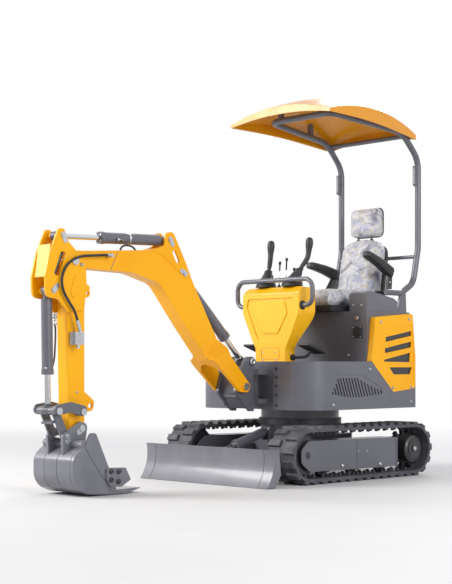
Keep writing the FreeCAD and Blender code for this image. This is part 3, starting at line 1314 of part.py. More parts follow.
running_gear()
chassis()
blade()
upper_frame()
skirts()
counterweight()
seat_box()
engine_block()
engine_covers()
swing_post()
boom()
stick()
boom_hose()
rocker()
bucket_link()
bucket()
console()
handrail()
levers()
pedals()
seat()
control_boxes()
canopy(canopy_roof())
cylinder("boom_cylinder", boom_cylinder_boom_pin, boom_cylinder_post_pin, boom_cylinder, 0.72)
cylinder("stick_cylinder", stick_cylinder_boom_pin, stick_cylinder_stick_pin, stick_cylinder, 0.62)
cylinder("bucket_cylinder", bucket_cylinder_pin, linkage_pin, bucket_cylinder, 0.70)
cylinder("blade_cylinder", blade_cylinder_frame_pin, blade_cylinder_blade_pin, blade_cylinder, 0.66)
level_cylinder("swing_cylinder", swing_barrel_pin, swing_rod_pin, swing_height, swing_cylinder, 0.68)

os.makedirs("parts", exist_ok=True)
for name, shape in nodes.items():
    shape.exportStep("parts/" + name + ".step")
    print(name, len(shape.Solids), "valid" if shape.isValid() else "not valid", round(shape.Volume / 1e6, 3))
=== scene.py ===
import math

import bmesh
import bpy
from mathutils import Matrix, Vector, noise


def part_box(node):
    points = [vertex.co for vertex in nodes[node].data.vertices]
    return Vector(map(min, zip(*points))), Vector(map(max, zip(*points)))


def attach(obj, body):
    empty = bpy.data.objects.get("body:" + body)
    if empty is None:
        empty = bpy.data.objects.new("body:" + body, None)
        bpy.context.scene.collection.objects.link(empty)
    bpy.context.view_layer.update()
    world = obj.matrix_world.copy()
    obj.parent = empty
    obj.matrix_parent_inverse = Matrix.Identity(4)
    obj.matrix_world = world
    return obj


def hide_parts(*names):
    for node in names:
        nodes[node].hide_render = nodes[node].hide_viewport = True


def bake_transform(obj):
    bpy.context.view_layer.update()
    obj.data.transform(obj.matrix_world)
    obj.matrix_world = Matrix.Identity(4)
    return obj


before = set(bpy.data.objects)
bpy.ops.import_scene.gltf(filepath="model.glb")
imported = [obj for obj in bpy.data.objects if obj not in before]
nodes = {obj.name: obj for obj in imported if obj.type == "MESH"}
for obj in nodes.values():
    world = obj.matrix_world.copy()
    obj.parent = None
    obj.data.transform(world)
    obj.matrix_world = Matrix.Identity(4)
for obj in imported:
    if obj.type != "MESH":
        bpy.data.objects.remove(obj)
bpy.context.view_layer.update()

# Mini excavator: enamelled steel, a moulded console and roof, rubber tracks and a covered seat.
# Metres throughout. X points to the machine's left, Y to its rear and Z up.

scene = bpy.context.scene
scene.view_settings.view_transform = "Standard"
mm = 0.001


# Materials

def toLinear(colour):
    # an sRGB hex value as the linear colour that a socket takes
    parts = [int(colour[i:i + 2], 16) / 255 for i in (1, 3, 5)]
    return [p / 12.92 if p <= 0.04045 else ((p + 0.055) / 1.055) ** 2.4 for p in parts] + [1.0]


def addNode(tree, kind, settings={}, links={}):
    # settings go to sockets or attributes by name; links are socket: (node, output)
    node = tree.nodes.new(kind)
    for key, value in settings.items():
        if isinstance(key, int) or key in node.inputs:
            node.inputs[key].default_value = value
        else:
            setattr(node, key, value)
    for key, (source, output) in links.items():
        tree.links.new(source.outputs[output], node.inputs[key])
    return node


def newMaterial(name):
    material = bpy.data.materials.new(name)
    material.use_nodes = True
    material.node_tree.nodes.clear()
    return material, material.node_tree


def grainAt(size):
    # noise scale for a pattern whose spots are this many metres across
    return 1.0 / size


def addFinish(tree, settings, links):
    shader = addNode(tree, "ShaderNodeBsdfPrincipled", settings, links)
    addNode(tree, "ShaderNodeOutputMaterial", {}, {"Surface": (shader, "BSDF")})


def enamel(name, look):
    # two-pack enamel sprayed on steel: even colour, soft gloss, a faint orange peel
    material, tree = newMaterial(name)
    coords = addNode(tree, "ShaderNodeTexCoord")
    drift = addNode(tree, "ShaderNodeTexNoise", {"Scale": grainAt(look["drift"]), "Detail": 3.0},
                    {"Vector": (coords, "Object")})
    spread = addNode(tree, "ShaderNodeMapRange", {1: 0.35, 2: 0.65, 3: 0.0, 4: 1.0}, {0: (drift, 0)})
    base = addNode(tree, "ShaderNodeMix", {"data_type": "RGBA", 6: toLinear(look["colour"]), 7: toLinear(look["deep"])},
                   {0: (spread, 0)})
    speck = addNode(tree, "ShaderNodeTexNoise", {"Scale": grainAt(18 * mm), "Detail": 6.0, "Roughness": 0.7},
                    {"Vector": (coords, "Object")})
    normal = addNode(tree, "ShaderNodeNewGeometry")
    split = addNode(tree, "ShaderNodeSeparateXYZ", {}, {0: (normal, "Normal")})
    upward = addNode(tree, "ShaderNodeMapRange", {1: 0.55, 2: 1.0, 3: 0.0, 4: look["dust"]}, {0: (split, 2)})
    film = addNode(tree, "ShaderNodeMath", {"operation": "MULTIPLY"}, {0: (upward, 0), 1: (speck, 0)})
    colour = addNode(tree, "ShaderNodeMix", {"data_type": "RGBA", 7: toLinear("#A9A398")}, {0: (film, 0), 6: (base, 2)})
    rough = addNode(tree, "ShaderNodeMapRange", {1: 0.3, 2: 0.7, 3: look["rough"] - 0.04, 4: look["rough"] + 0.06},
                    {0: (speck, 0)})
    peel = addNode(tree, "ShaderNodeTexNoise", {"Scale": grainAt(6 * mm), "Detail": 1.0}, {"Vector": (coords, "Object")})
    edge = addNode(tree, "ShaderNodeBevel", {"samples": 6, "Radius": look["edge"]})
    bump = addNode(tree, "ShaderNodeBump", {"Strength": 0.25, "Distance": 0.05 * mm}, {"Height": (peel, 0), "Normal": (edge, 0)})
    addFinish(tree, {"Coat Weight": look["coat"], "Coat Roughness": 0.12, "IOR": 1.5, "Specular IOR Level": look["gloss"]},
              {"Base Color": (colour, 2), "Roughness": (rough, 0), "Normal": (bump, 0)})
    return material


def mouldedPlastic(name, look):
    # ABS or polyethylene from a textured mould: a fine even grain that breaks the highlight
    material, tree = newMaterial(name)
    coords = addNode(tree, "ShaderNodeTexCoord")
    grain = addNode(tree, "ShaderNodeTexVoronoi", {"Scale": grainAt(look["grain"])}, {"Vector": (coords, "Object")})
    cloud = addNode(tree, "ShaderNodeTexNoise", {"Scale": grainAt(90 * mm), "Detail": 2.0}, {"Vector": (coords, "Object")})
    colour = addNode(tree, "ShaderNodeMix", {"data_type": "RGBA", 6: toLinear(look["colour"]), 7: toLinear(look["deep"])},
                     {0: (cloud, 0)})
    rough = addNode(tree, "ShaderNodeMapRange", {1: 0.3, 2: 0.7, 3: look["rough"] - 0.05, 4: look["rough"] + 0.05},
                    {0: (cloud, 0)})
    edge = addNode(tree, "ShaderNodeBevel", {"samples": 6, "Radius": look["edge"]})
    bump = addNode(tree, "ShaderNodeBump", {"Strength": look["bump"], "Distance": 0.12 * mm},
                   {"Height": (grain, 0), "Normal": (edge, 0)})
    addFinish(tree, {"Coat Weight": look["coat"], "Coat Roughness": 0.2, "IOR": 1.49, "Specular IOR Level": look["gloss"]},
              {"Base Color": (colour, 2), "Roughness": (rough, 0), "Normal": (bump, 0)})
    return material


def vulcanisedRubber(name, look):
    # carbon-black rubber from a mould: dull, with a little bloom and road dust in loose blotches
    material, tree = newMaterial(name)
    coords = addNode(tree, "ShaderNodeTexCoord")
    cloud = addNode(tree, "ShaderNodeTexNoise", {"Scale": grainAt(look["cloud"]), "Detail": 8.0, "Roughness": 0.65},
                    {"Vector": (coords, "Object")})
    mask = addNode(tree, "ShaderNodeMapRange", {1: 0.46, 2: 0.72, 3: 0.0, 4: look["dust"]}, {0: (cloud, 0)})
    colour = addNode(tree, "ShaderNodeMix", {"data_type": "RGBA", 6: toLinear(look["colour"]), 7: toLinear(look["bloom"])},
                     {0: (mask, 0)})
    grit = addNode(tree, "ShaderNodeTexNoise", {"Scale": grainAt(2.5 * mm), "Detail": 3.0}, {"Vector": (coords, "Object")})
    bump = addNode(tree, "ShaderNodeBump", {"Strength": 0.4, "Distance": 0.3 * mm}, {"Height": (grit, 0)})
    addFinish(tree, {"Roughness": look["rough"], "IOR": 1.52, "Specular IOR Level": 0.4},
              {"Base Color": (colour, 2), "Normal": (bump, 0)})
    return material


def bareMetal(name, look):
    # plated or ground steel: mirror-like, with cloudy changes in tone and roughness
    material, tree = newMaterial(name)
    coords = addNode(tree, "ShaderNodeTexCoord")
    cloud = addNode(tree, "ShaderNodeTexNoise", {"Scale": grainAt(look["cloud"]), "Detail": 5.0}, {"Vector": (coords, "Object")})
    colour = addNode(tree, "ShaderNodeMix", {"data_type": "RGBA", 6: toLinear(look["colour"]), 7: toLinear(look["deep"])},
                     {0: (cloud, 0)})
    rough = addNode(tree, "ShaderNodeMapRange", {1: 0.3, 2: 0.7, 3: look["rough"] - 0.05, 4: look["rough"] + 0.07},
                    {0: (cloud, 0)})
    addFinish(tree, {"Metallic": 1.0}, {"Base Color": (colour, 2), "Roughness": (rough, 0)})
    return material


def rodSteel(name, start, end, chromeLength):
    # hard chrome on a ground rod up to its collar, and grey enamel on the welded eye past it
    material, tree = newMaterial(name)
    along = (end - start).normalized()
    coords = addNode(tree, "ShaderNodeTexCoord")
    offset = addNode(tree, "ShaderNodeVectorMath", {"operation": "SUBTRACT", 1: start}, {0: (coords, "Object")})
    distance = addNode(tree, "ShaderNodeVectorMath", {"operation": "DOT_PRODUCT", 1: along}, {0: (offset, 0)})
    painted = addNode(tree, "ShaderNodeMath", {"operation": "GREATER_THAN", 1: chromeLength}, {0: (distance, "Value")})
    bare = addNode(tree, "ShaderNodeMath", {"operation": "SUBTRACT", 0: 1.0}, {1: (painted, 0)})
    colour = addNode(tree, "ShaderNodeMix", {"data_type": "RGBA", 6: toLinear("#D9DADC"), 7: toLinear("#515159")},
                     {0: (painted, 0)})
    rough = addNode(tree, "ShaderNodeMapRange", {1: 0.0, 2: 1.0, 3: 0.14, 4: 0.42}, {0: (painted, 0)})
    addFinish(tree, {}, {"Base Color": (colour, 2), "Roughness": (rough, 0), "Metallic": (bare, 0)})
    return material


def printedCloth(name, look):
    # woven polyester seat cover: pale ground, loose blue-grey and sand blotches, a fine weave
    material, tree = newMaterial(name)
    coords = addNode(tree, "ShaderNodeTexCoord")
    warp = addNode(tree, "ShaderNodeTexNoise", {"Scale": grainAt(look["blotch"] * 1.6), "Detail": 4.0, "Distortion": 2.0},
                   {"Vector": (coords, "Object")})
    streak = addNode(tree, "ShaderNodeTexNoise", {"Scale": grainAt(look["blotch"]), "Detail": 6.0, "Roughness": 0.6,
                                                  "Distortion": 3.0}, {"Vector": (coords, "Object")})
    sand = addNode(tree, "ShaderNodeTexNoise", {"Scale": grainAt(look["blotch"] * 0.55), "Detail": 5.0, "Distortion": 1.5},
                   {"Vector": (coords, "Object")})
    blueMask = addNode(tree, "ShaderNodeMapRange", {1: 0.44, 2: 0.62, 3: 0.0, 4: 0.8}, {0: (streak, 0)})
    darkMask = addNode(tree, "ShaderNodeMapRange", {1: 0.57, 2: 0.66, 3: 0.0, 4: 0.7}, {0: (warp, 0)})
    sandMask = addNode(tree, "ShaderNodeMapRange", {1: 0.55, 2: 0.68, 3: 0.0, 4: 0.7}, {0: (sand, 0)})
    first = addNode(tree, "ShaderNodeMix", {"data_type": "RGBA", 6: toLinear(look["ground"]), 7: toLinear(look["blue"])},
                    {0: (blueMask, 0)})
    second = addNode(tree, "ShaderNodeMix", {"data_type": "RGBA", 7: toLinear(look["sand"])},
                     {0: (sandMask, 0), 6: (first, 2)})
    third = addNode(tree, "ShaderNodeMix", {"data_type": "RGBA", 7: toLinear(look["dark"])},
                    {0: (darkMask, 0), 6: (second, 2)})
    weave = addNode(tree, "ShaderNodeTexVoronoi", {"Scale": grainAt(look["thread"])}, {"Vector": (coords, "Object")})
    fold = addNode(tree, "ShaderNodeTexNoise", {"Scale": grainAt(38 * mm), "Detail": 4.0, "Distortion": 2.2},
                   {"Vector": (coords, "Object")})
    height = addNode(tree, "ShaderNodeMath", {"operation": "MULTIPLY_ADD", 1: 0.12}, {0: (weave, 0), 2: (fold, 0)})
    bump = addNode(tree, "ShaderNodeBump", {"Strength": 0.9, "Distance": 6 * mm}, {"Height": (height, 0)})
    addFinish(tree, {"Roughness": 0.44, "Sheen Weight": 0.2, "Sheen Roughness": 0.4},
              {"Base Color": (third, 2), "Normal": (bump, 0)})
    return material


yellowEnamel = enamel("yellow_two_pack_enamel", {
    "colour": "#FBB306", "deep": "#F6A902", "drift": 400 * mm, "dust": 0.04, "rough": 0.34, "coat": 0.14, "gloss": 0.25,
    "edge": 2 * mm})
slateEnamel = enamel("slate_two_pack_enamel", {
    "colour": "#64646C", "deep": "#5B5B63", "drift": 300 * mm, "dust": 0.25, "rough": 0.36, "coat": 0.3, "gloss": 0.5,
    "edge": 2 * mm})
# the slate enamel again for the dozer blade and bucket, made paler as a painted reflection of bright light on their
# fronts; its extra dust and gloss are real
slateWithPaintedReflection = enamel("slate_enamel_with_painted_reflection", {
    "colour": "#74747C", "deep": "#66666E", "drift": 160 * mm, "dust": 0.35, "rough": 0.34, "coat": 0.4, "gloss": 0.5,
    "edge": 2 * mm})
blackEnamel = enamel("black_enamel_castings", {
    "colour": "#2B2B2E", "deep": "#232325", "drift": 120 * mm, "dust": 0.4, "rough": 0.38, "coat": 0.3, "gloss": 0.5,
    "edge": 2 * mm})
yellowAbs = mouldedPlastic("yellow_moulded_polyethylene", {
    "colour": "#FFC21E", "deep": "#FDB810", "grain": 1.6 * mm, "bump": 0.12, "rough": 0.36, "coat": 0.35, "gloss": 0.4,
    "edge": 5 * mm})
# gel-coat glass fibre for the roof: its own yellow-orange, darkened overall as painted shade standing in for the shade
# under the roof
roofGelCoatWithPaintedShade = mouldedPlastic("gel_coat_glass_fibre_with_painted_shade", {
    "colour": "#E59A08", "deep": "#DC8E04", "grain": 8 * mm, "bump": 0.05, "rough": 0.3, "coat": 0.3, "gloss": 0.4,
    "edge": 3 * mm})
blackPolyurethane = mouldedPlastic("black_polyurethane_foam_skin", {
    "colour": "#28282B", "deep": "#1E1E20", "grain": 1.2 * mm, "bump": 0.4, "rough": 0.5, "coat": 0.0, "gloss": 0.5,
    "edge": 2 * mm})
trackRubber = vulcanisedRubber("vulcanised_track_rubber", {
    "colour": "#47474D", "bloom": "#6C6B72", "cloud": 60 * mm, "dust": 0.55, "rough": 0.58})
bootRubber = vulcanisedRubber("moulded_bellows_rubber", {
    "colour": "#262629", "bloom": "#3C3C40", "cloud": 30 * mm, "dust": 0.4, "rough": 0.5})
zincPlate = bareMetal("zinc_plated_steel", {"colour": "#CFD1D3", "deep": "#A9ACB1", "cloud": 12 * mm, "rough": 0.3})
castSteel = bareMetal("greased_cast_steel", {"colour": "#5A5A5E", "deep": "#3A3A3D", "cloud": 25 * mm, "rough": 0.5})
seatCover = printedCloth("woven_polyester_seat_cover", {
    "ground": "#CFCDCB", "blue": "#9096B2", "sand": "#ADA07C", "dark": "#5E5F70", "blotch": 105 * mm, "thread": 2.2 * mm})

print("materials made")


# The CAD nodes take their finishes here

finishes = {
    # node: material
    "track_left": trackRubber, "track_right": trackRubber,
    "side_frames": slateEnamel, "track_wheels": blackEnamel,
    "drive_sprockets": castSteel, "travel_motors": blackEnamel,
    "chassis": slateEnamel, "slew_ring": castSteel, "dozer_blade": slateWithPaintedReflection,
    "boom_cylinder_barrel": slateEnamel, "stick_cylinder_barrel": slateEnamel,
    "bucket_cylinder_barrel": slateEnamel, "blade_cylinder_barrel": slateEnamel,
    "swing_cylinder_barrel": slateEnamel,
    "upper_frame": slateEnamel, "skirts": slateEnamel, "counterweight": slateEnamel,
    "seat_box": slateEnamel, "engine_block": blackEnamel, "engine_covers": yellowEnamel,
    "console": yellowAbs, "handrail": slateEnamel, "pedals": bootRubber,
    "seat_pan": blackPolyurethane, "armrests": blackPolyurethane,
    "control_boxes": slateEnamel, "canopy_frame": slateEnamel,
    "canopy_roof": roofGelCoatWithPaintedShade, "swing_pin": zincPlate, "swing_post": slateEnamel,
    "boom": yellowEnamel, "boom_pins": zincPlate, "stick": yellowEnamel,
    "stick_pins": zincPlate, "side_links": slateEnamel, "bucket_link": slateEnamel,
    "bucket": slateWithPaintedReflection, "bucket_pins": zincPlate, "linkage_pins": zincPlate,
    "post_pins": zincPlate, "boom_fitting": zincPlate, "stick_valve_block": zincPlate,
    "vent_mesh": blackEnamel, "seat_box_switches": blackPolyurethane, "roof_mounts": slateEnamel,
    "boom_hose": bootRubber,
}


def paint(piece, material):
    piece.data.materials.clear()
    piece.data.materials.append(material)


for name, material in finishes.items():
    paint(nodes[name], material)

rods = {
    # node: rod's start and end as (x, y, z), and how far the chrome runs from the start
    "boom_cylinder_rod": ((0, -0.928, 1.088), (0, -0.465, 0.637), 0.034),
    "stick_cylinder_rod": ((0, -1.028, 1.253), (0, -1.716, 1.231), 0.034),
    "bucket_cylinder_rod": ((0, -1.772, 0.971), (0, -1.763, 0.405), 0.033),
    "blade_cylinder_rod": ((0, -0.262, 0.262), (0, -0.655, 0.150), 0.033),
    "swing_cylinder_rod": ((-0.205, -0.060, 0.510), (-0.118, -0.430, 0.510), 0.030),
}
for name, (start, end, collar) in rods.items():
    start, end = Vector(start), Vector(end)
    paint(nodes[name], rodSteel(name + "_chrome", start, end, (end - start).length - collar))

print("CAD nodes finished")


# Small parts made as joined meshes

def newPiece(name, body, material, mesh):
    piece = bpy.data.objects.new(name, mesh)
    scene.collection.objects.link(piece)
    if material:
        paint(piece, material)
    if body:
        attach(piece, body)
    return piece


def turned(work, profile, place, axis, sides=20):
    # revolves (radius, distance along the axis) points about an axis through place
    turn = Vector((0, 0, 1)).rotation_difference(Vector(axis)).to_matrix()
    rings = []
    for radius, along in profile:
        ring = []
        for i in range(sides):
            angle = 2 * math.pi * i / sides
            ring.append(work.verts.new(Vector(place) + turn @ Vector((radius * math.cos(angle), radius * math.sin(angle), along))))
        rings.append(ring)
    for lower, upper in zip(rings, rings[1:]):
        for i in range(sides):
            j = (i + 1) % sides
            work.faces.new((lower[i], lower[j], upper[j], upper[i])).smooth = True
    work.faces.new(list(reversed(rings[0])))
    work.faces.new(rings[-1])


def hexBolt(work, place, axis, size):
    # washer, chamfered hexagon head and the end of the thread
    turned(work, ((size * 1.05, 0.0), (size * 1.05, size * 0.16), (size * 1.0, size * 0.2)), place, axis)
    head = Vector(place) + Vector(axis) * size * 0.2
    turned(work, ((size * 0.86, 0.0), (size * 0.86, size * 0.5), (size * 0.74, size * 0.62)), head, axis, 6)
    turned(work, ((size * 0.4, 0.0), (size * 0.4, size * 0.12), (size * 0.34, size * 0.16)),
           head + Vector(axis) * size * 0.6, axis, 12)


def domeScrew(work, place, axis, size):
    turned(work, ((size, 0.0), (size * 0.95, size * 0.3), (size * 0.6, size * 0.55), (size * 0.42, size * 0.58),
                  (size * 0.38, size * 0.35)), place, axis)


def finishMesh(work, name):
    mesh = bpy.data.meshes.new(name)
    bmesh.ops.recalc_face_normals(work, faces=work.faces)
    work.to_mesh(mesh)
    work.free()
    return mesh


def routeLine(points, steps):
    # the smooth line through a route's control points, read from a NURBS spline
    curve = bpy.data.curves.new("route", "CURVE")
    curve.dimensions = "3D"
    curve.resolution_u = steps
    spline = curve.splines.new("NURBS")
    spline.points.add(len(points) - 1)
    for point, place in zip(spline.points, points):
        point.co = (*place, 1.0)
    spline.order_u = 3
    spline.use_endpoint_u = True
    holder = bpy.data.objects.new("route", curve)
    scene.collection.objects.link(holder)
    bpy.context.view_layer.update()
    line = bpy.data.meshes.new_from_object(holder)
    places = [v.co.copy() for v in line.vertices]
    bpy.data.objects.remove(holder)
    return places


def sweep(work, places, radii, sides=16, deep=1.0):
    # rings of the given radii along a line of places, closed at both ends; deep squashes them front to back
    rings = []
    turn = Vector((0, 0, 1)).rotation_difference((places[1] - places[0]).normalized())
    last = (places[1] - places[0]).normalized()
    for i, (place, radius) in enumerate(zip(places, radii)):
        along = (places[min(i + 1, len(places) - 1)] - places[max(i - 1, 0)]).normalized()
        turn = last.rotation_difference(along) @ turn
        last = along
        rings.append([work.verts.new(place + turn @ Vector((radius * math.cos(a), radius * deep * math.sin(a), 0)))
                      for a in [2 * math.pi * k / sides for k in range(sides)]])
    for lower, upper in zip(rings, rings[1:]):
        for i in range(sides):
            j = (i + 1) % sides
            work.faces.new((lower[i], lower[j], upper[j], upper[i])).smooth = True
    work.faces.new(list(reversed(rings[0])))
    work.faces.new(rings[-1])


# Seat

seatLook = {
    # half sizes are along X, Y and Z; edge is the rounding of the foam
    "cushion": {"voxel": 6 * mm, "pressure": 4.0, "cap": 18 * mm},
    "back": {"voxel": 6 * mm, "pressure": 4.0, "cap": 14 * mm, "half": (0.155, 0.051, 0.200), "edge": 0.042,
             "place": (0, 0.538, 1.157)},
    "headrest": {"voxel": 5 * mm, "pressure": 3.0, "cap": 8 * mm, "half": (0.107, 0.038, 0.083), "edge": 0.032,
                 "place": (0, 0.588, 1.4600)},
    "wrinkle": 3.4 * mm,
}


def blockMesh(name, cuts, shape):
    # a closed block of quads, each point placed by shape(u, v, w) with u, v and w from -1 to 1
    work = bmesh.new()
    bmesh.ops.create_cube(work, size=2.0)
    bmesh.ops.subdivide_edges(work, edges=work.edges, cuts=cuts, use_grid_fill=True)
    for vert in work.verts:
        vert.co = shape(*vert.co)
    for face in work.faces:
        face.smooth = True
    return finishMesh(work, name)


def roundedPoint(point, half, edge):
    # a cube's point moved onto a block with rounded edges and corners
    full = Vector([p * h for p, h in zip(point, half)])
    core = Vector([max(-h + edge, min(h - edge, c)) for c, h in zip(full, half)])
    out = full - core
    return core + out.normalized() * edge if out.length > 1e-7 else full


def puffUp(piece, puff, wrinkle):
    # voxel remesh, cloth blown up from inside, movement capped, long slanting folds, then one subdivision
    remesh = piece.modifiers.new("Remesh", "REMESH")
    remesh.mode = "VOXEL"
    remesh.voxel_size = puff["voxel"]
    depsgraph = bpy.context.evaluated_depsgraph_get()
    mesh = bpy.data.meshes.new_from_object(piece.evaluated_get(depsgraph))
    piece.modifiers.clear()
    piece.data = mesh
    rest = [v.co.copy() for v in mesh.vertices]
    cloth = piece.modifiers.new("Cloth", "CLOTH")
    cloth.settings.use_pressure = True
    cloth.settings.uniform_pressure_force = puff["pressure"]
    cloth.settings.effector_weights.gravity = 0.0
    for step in range(1, 21):
        scene.frame_set(step)
    depsgraph = bpy.context.evaluated_depsgraph_get()
    blown = [v.co.copy() for v in piece.evaluated_get(depsgraph).data.vertices]
    piece.modifiers.clear()
    scene.frame_set(1)
    for vert, old, new in zip(mesh.vertices, rest, blown):
        move = new - old
        if move.length > puff["cap"]:
            move *= puff["cap"] / move.length
        vert.co = old + move
    for vert in mesh.vertices:
        place = vert.co
        along = 0.80 * place.x + 0.60 * place.z
        across = -0.60 * place.x + 0.80 * place.z
        fold = noise.noise(Vector((along * 5, place.y * 9, across * 27)))
        ridge = max(1.0 - abs(fold) * 3.2, 0.0)
        vert.co = place + vert.normal * wrinkle * (ridge - 0.35) * (0.4 + noise.noise(place * 6.0))
    for polygon in mesh.polygons:
        polygon.use_smooth = True
    piece.modifiers.new("Subdivision", "SUBSURF").levels = 1
    piece.modifiers["Subdivision"].render_levels = 1


def cushionShape(u, v, w):
    low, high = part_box("seat_cushion")
    centre, half = (low + high) / 2, (high - low) / 2
    pull = 1.0 - 0.05 * (u * u * v * v)
    squeeze = 1.0 - 0.10 * abs(w) ** 3
    bolster = 0.14 * abs(u) ** 4 * (w > 0)
    return Vector((centre.x + u * half.x * 0.93 * pull * squeeze, centre.y + v * half.y * 0.95 * squeeze,
                   centre.z - 2 * mm + w * half.z * (0.80 + bolster)))


def backShape(u, v, w):
    # leans back to the top, swells at the loins and draws in to narrow round shoulders
    look = seatLook["back"]
    point = roundedPoint((u, v, w), look["half"], look["edge"])
    lift = point.z / look["half"][2]
    point.x *= 1.0 - 0.20 * max(lift - 0.45, 0.0) ** 2 / 0.30 - 0.03 * max(-lift, 0.0)
    point.z -= 0.030 * abs(point.x / look["half"][0]) ** 3 * max(lift, 0.0)
    point.y += 0.028 * lift + 0.010 * lift * lift - 0.008 * (1 - u * u) * (v < 0)
    return point + Vector(look["place"])


def headrestShape(u, v, w):
    look = seatLook["headrest"]
    point = roundedPoint((u, v, w), look["half"], look["edge"])
    point.y += math.copysign(0.006 * (1 - u * u) * (1 - w * w), v) + 0.004 * w
    return point + Vector(look["place"])


for part, shape, node in (("cushion", cushionShape, "seat_cushion"), ("back", backShape, "seat_back"),
                          ("headrest", headrestShape, "headrest")):
    pad = newPiece("covered_" + node, None, seatCover, blockMesh(part, 19, shape))
    puffUp(pad, seatLook[part], seatLook["wrinkle"])
    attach(pad, "house")
    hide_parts(node)


def backShellShape(u, v, w):
    # the moulded pan that the back's foam sits in, seen at its edge
    point = roundedPoint((u, v, w), (0.1500, 0.012, 0.184), 0.010)
    lift = point.z / 0.200
    point.x *= 1.0 - 0.20 * max(lift - 0.45, 0.0) ** 2 / 0.30
    point.z -= 0.030 * abs(u) ** 3 * max(lift, 0.0)
    point.y += 0.047 + 0.028 * lift + 0.010 * lift * lift
    return point + Vector((0, 0.534, 1.152))


backShell = newPiece("seat_back_shell", "house", blackPolyurethane, blockMesh("seat_back_shell", 15, backShellShape))


def rimLine(half, edge, place):
    # the loop where the headrest's front cover meets its rear one
    points = []
    for turn in range(4):
        side = Vector(((half[0] - edge) * (1, -1, -1, 1)[turn], 0, (half[1] - edge) * (1, 1, -1, -1)[turn]))
        for step in range(9):
            angle = math.pi / 2 * (turn + step / 8)
            points.append(Vector(place) + side + Vector((edge * math.cos(angle), 0, edge * math.sin(angle))))
    return points


work = bmesh.new()
rings = []
rim = rimLine((0.108, 0.084), 0.034, (0, 0.610, 1.4600))
for i, place in enumerate(rim):
    along = (rim[(i + 1) % len(rim)] - rim[i - 1]).normalized()
    out = along.cross(Vector((0, 1, 0)))
    rings.append([work.verts.new(place + 4 * mm * (math.cos(a) * out + math.sin(a) * Vector((0, 1, 0))))
                  for a in [math.pi * k / 4 for k in range(8)]])
for lower, upper in zip(rings, rings[1:] + rings[:1]):
    for i in range(8):
        work.faces.new((lower[i], lower[(i + 1) % 8], upper[(i + 1) % 8], upper[i])).smooth = True
piping = newPiece("headrest_piping", "house", blackPolyurethane, finishMesh(work, "headrest_piping"))

work = bmesh.new()
for x in (-0.050, 0.050):
    turned(work, ((0.0060, 0.0), (0.0060, 0.085)), (x, 0.572, 1.320), (0, 0.05, 1), 16)
    turned(work, ((0.0125, 0.0), (0.0125, 0.006), (0.0090, 0.009)), (x, 0.575, 1.352), (0, 0.05, 1), 16)
stems = newPiece("headrest_stems", "house", blackEnamel, finishMesh(work, "headrest_stems"))

print("seat made")


# Armrests: foam pads on flat arms at a tube through the seat's back, which the real arms turn on; here they are fixed
# to the house

armrestLook = {
    # side: the pad's tip and rear
    "near": {"tip": (0.235, 0.300, 1.248), "rear": (0.235, 0.520, 1.154)},
    "far": {"tip": (-0.235, 0.344, 1.211), "rear": (-0.235, 0.589, 1.164)},
    "half": 0.027, "pivot": (0.500, 1.042), "tube": 0.009,
}


def armrestPad(work, tip, rear):
    tip, rear = Vector(tip), Vector(rear)
    along = (rear - tip).normalized()
    up = Vector((1, 0, 0)).cross(along)
    half = armrestLook["half"]
    length = (rear - tip).length / 2
    block = bmesh.new()
    bmesh.ops.create_cube(block, size=2.0)
    bmesh.ops.subdivide_edges(block, edges=block.edges, cuts=13, use_grid_fill=True)
    for vert in block.verts:
        point = roundedPoint(vert.co, (half, length + 0.008, 0.030), 0.017)
        point.z *= 0.88 + 0.22 * point.y / length
        point.z += 0.004 * (1 - (point.y / length) ** 2) - 0.006 * max(point.y / length, 0.0)
        vert.co = (tip + rear) / 2 + Vector((point.x, 0, 0)) + along * point.y - up * -point.z
    for face in block.faces:
        face.smooth = True
    mesh = finishMesh(block, "armrest_pad")
    work.from_mesh(mesh)


work = bmesh.new()
for side in ("near", "far"):
    armrestPad(work, armrestLook[side]["tip"], armrestLook[side]["rear"])
pads = newPiece("armrest_pads", "house", blackPolyurethane, finishMesh(work, "armrest_pads"))
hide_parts("armrests")

work = bmesh.new()
pivotY, pivotZ = armrestLook["pivot"]
for side, out in (("near", 1), ("far", -1)):
    rear = Vector(armrestLook[side]["rear"]) + Vector((0, -0.014, -0.014))
    foot = Vector((rear.x, pivotY - 0.006, pivotZ - 0.010))
    along = rear - foot
    tilt = Vector((0, 0, 1)).rotation_difference(along.normalized())
    plate = bmesh.new()
    bmesh.ops.create_cube(plate, size=2.0)
    bmesh.ops.subdivide_edges(plate, edges=plate.edges, cuts=9, use_grid_fill=True)
    for vert in plate.verts:
        point = roundedPoint(vert.co, (0.010, 0.026, along.length / 2 + 0.010), 0.0095)
        point.y *= 1.0 - 0.22 * point.z / along.length
        vert.co = foot.lerp(rear, 0.5) + tilt @ point
    for face in plate.faces:
        face.smooth = True
    work.from_mesh(finishMesh(plate, "armrest_arm"))
    sweep(work, [foot + Vector((-out * 0.016, 0, 0.012)), foot + Vector((out * 0.014, 0, 0.012)), foot + Vector((out * 0.016, 0, 0.012))],
          (0.024, 0.024, 0.021), 24)
sweep(work, [Vector((-0.235, pivotY, pivotZ)), Vector((0.235, pivotY, pivotZ))], (armrestLook["tube"], armrestLook["tube"]), 20)
arms = newPiece("armrest_arms", "house", blackEnamel, finishMesh(work, "armrest_arms"))

work = bmesh.new()
for out in (1, -1):
    hexBolt(work, Vector((out * 0.2505, pivotY - 0.006, pivotZ + 0.002)), Vector((out, 0, 0)), 7 * mm)
    domeScrew(work, Vector((out * 0.2448, 0.502 if out > 0 else 0.538, 1.096)), Vector((out, 0, 0)), 5.5 * mm)
armBolts = newPiece("armrest_bolts", "house", zincPlate, finishMesh(work, "armrest_bolts"))

print("armrests made")


# Foot pedals: ribbed treads on round arms from the console's foot

pedalLook = {"x": 0.205, "front": (-0.206, 0.731), "rear": (-0.062, 0.683), "half": 0.042, "thick": 0.007, "ribs": 6}


